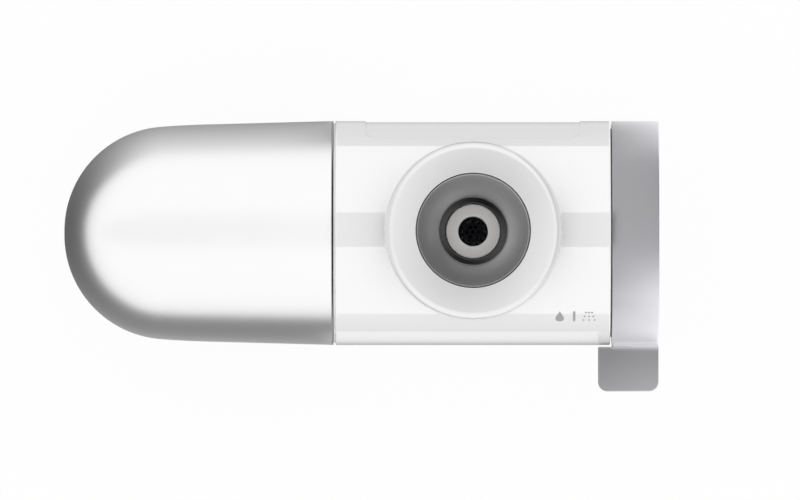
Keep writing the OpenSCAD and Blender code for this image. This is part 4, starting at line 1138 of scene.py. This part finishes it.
# Behind the body grey = gain exp((from - d) / fall), up to the most; before it each d has its own grey
def makeBodyFlags():
    spread = camera["sensor"] / (camera["frameWidth"] * camera["lens"])
    back = bodyR + (bodyFlags["backEnd"] - bodyR) * np.linspace(0, 1, bodyFlags["backSteps"]) ** 2
    grey = bodyFlags["backGain"] * np.exp((bodyFlags["backFrom"] - back) / bodyFlags["backFall"])
    grey = np.minimum(grey, bodyFlags["backMost"])
    levelFlag("backFlag", bodyFlags["x"], back, cardFloor, grey[:, None], spread)
    front, grey = np.array(bodyFlags["frontD"]), np.array(bodyFlags["frontGrey"])
    levelFlag("frontFlag", bodyFlags["x"], -front, cardFloor, grey[:, None], spread)


# Card on the floor round the dome
domeFlag = {"noseX": -76.0, "back": 1200.0, "left": 260.0, "front": 312.0, "turns": 61, "steps": 60,
            "backPower": 3, "frontPower": 1.6, "backDrop": 70.0, "backShift": 66.0, "leftGrey": 0.11,
            "fadeFrom": 0.7, "fadeLen": 0.3, "frontGrey": 0.21, "frontGain": 0.35, "frontFrom": 28.0,
            "frontFall": 25.0, "underGrey": 0.3, "underD": 22.0}


# It runs from the back round the nose to the front, turn 0 to pi, and out by d from the body. The back's
# grey is 1 - drop / (d + shift), the left's is even and fades to white at the end, the front's is even
# plus gain exp((from - d) / fall). Powers of the turn's cosine mix them, and the mix takes over from the
# under grey by (d / underD)^2
def makeDomeFlag():
    turn = np.concatenate([[0], np.linspace(0, math.pi, domeFlag["turns"]), [math.pi]])
    startX = np.full(len(turn), domeFlag["noseX"])
    startX[[0, -1]] = bodyFlags["x"][0]
    backShare = np.maximum(np.cos(turn), 0) ** domeFlag["backPower"]
    frontShare = np.maximum(-np.cos(turn), 0) ** domeFlag["frontPower"]
    leftShare = 1 - backShare - frontShare
    out = np.linspace(0, 1, domeFlag["steps"])[:, None] ** 2
    d = out * (backShare * domeFlag["back"] + frontShare * domeFlag["front"] + leftShare * domeFlag["left"])
    back = np.maximum(1 - domeFlag["backDrop"] / (d + domeFlag["backShift"]), 0)
    fade = np.clip((out - domeFlag["fadeFrom"]) / domeFlag["fadeLen"], 0, 1) ** 2
    left = domeFlag["leftGrey"] + (1 - domeFlag["leftGrey"]) * fade
    gain = np.exp(np.minimum(domeFlag["frontFrom"] - d, 0) / domeFlag["frontFall"])
    front = domeFlag["frontGrey"] + domeFlag["frontGain"] * gain
    grey = backShare * back + leftShare * left + frontShare * front
    under = domeFlag["underGrey"]
    grey = under + (grey - under) * np.clip(d / domeFlag["underD"], 0, 1) ** 2
    level = np.full(d.shape, axisZ + cardFloor)
    makeFlag("domeFlag", np.stack([startX - d * np.sin(turn), d * np.cos(turn), level], -1), grey)


# Dark arc over the lever and a light card before it
leverFlag = {"x": (37.0, 127.0), "r": 75.0, "turn": (-32.0, 77.0, 30), "grey": 0.16}
leverBounce = {"x": (36.5, 80.0), "y": -52.0, "height": (-34.0, 4.0), "grey": 1.1}


# The arc lies round the body's axis: (x, r sin t, r cos t)
def makeLeverFlags():
    x, turn = np.meshgrid(leverFlag["x"], np.radians(np.linspace(*leverFlag["turn"])))
    arc = np.stack([x, leverFlag["r"] * np.sin(turn), axisZ + leverFlag["r"] * np.cos(turn)], -1)
    makeFlag("leverFlag", arc, np.full(x.shape, leverFlag["grey"]))
    x, z = np.meshgrid(leverBounce["x"], axisZ + np.array(leverBounce["height"]))
    bounce = np.stack([x, np.full(x.shape, leverBounce["y"]), z], -1)
    makeFlag("leverBounce", bounce, np.full(x.shape, leverBounce["grey"]))


# Small ring over the collar, with grey = level * cos^2(turn - lean)
collarFlag = {"height": 77.0, "r": (3.0, 10.0, 17.0), "lean": (-17.0, -17.0, 0.0), "turns": 65, "grey": 0.9,
              "reach": 56.0}


def makeCollarFlag():
    turn, r = np.meshgrid(np.linspace(0, math.tau, collarFlag["turns"]), collarFlag["r"])
    lean = np.radians(collarFlag["lean"])[:, None]
    level = np.full(r.shape, axisZ + collarFlag["height"])
    ring = np.stack([r * np.cos(turn), r * np.sin(turn), level], -1)
    makeFlag("collarFlag", ring, collarFlag["grey"] * np.cos(turn - lean) ** 2, collarFlag["reach"])


def makeWorld():
    world = bpy.data.worlds.new("studio")
    world.use_nodes = True
    setSockets(world.node_tree.nodes["Background"], {"Color": (1, 1, 1, 1), "Strength": stage["skyLevel"]})
    bpy.context.scene.world = world


makeFloor()
makeStrips()
makeBodyFlags()
makeDomeFlag()
makeLeverFlags()
makeCollarFlag()
makeWorld()
makeCamera()
bpy.context.scene.view_settings.view_transform = "Standard"
print("stage ready")
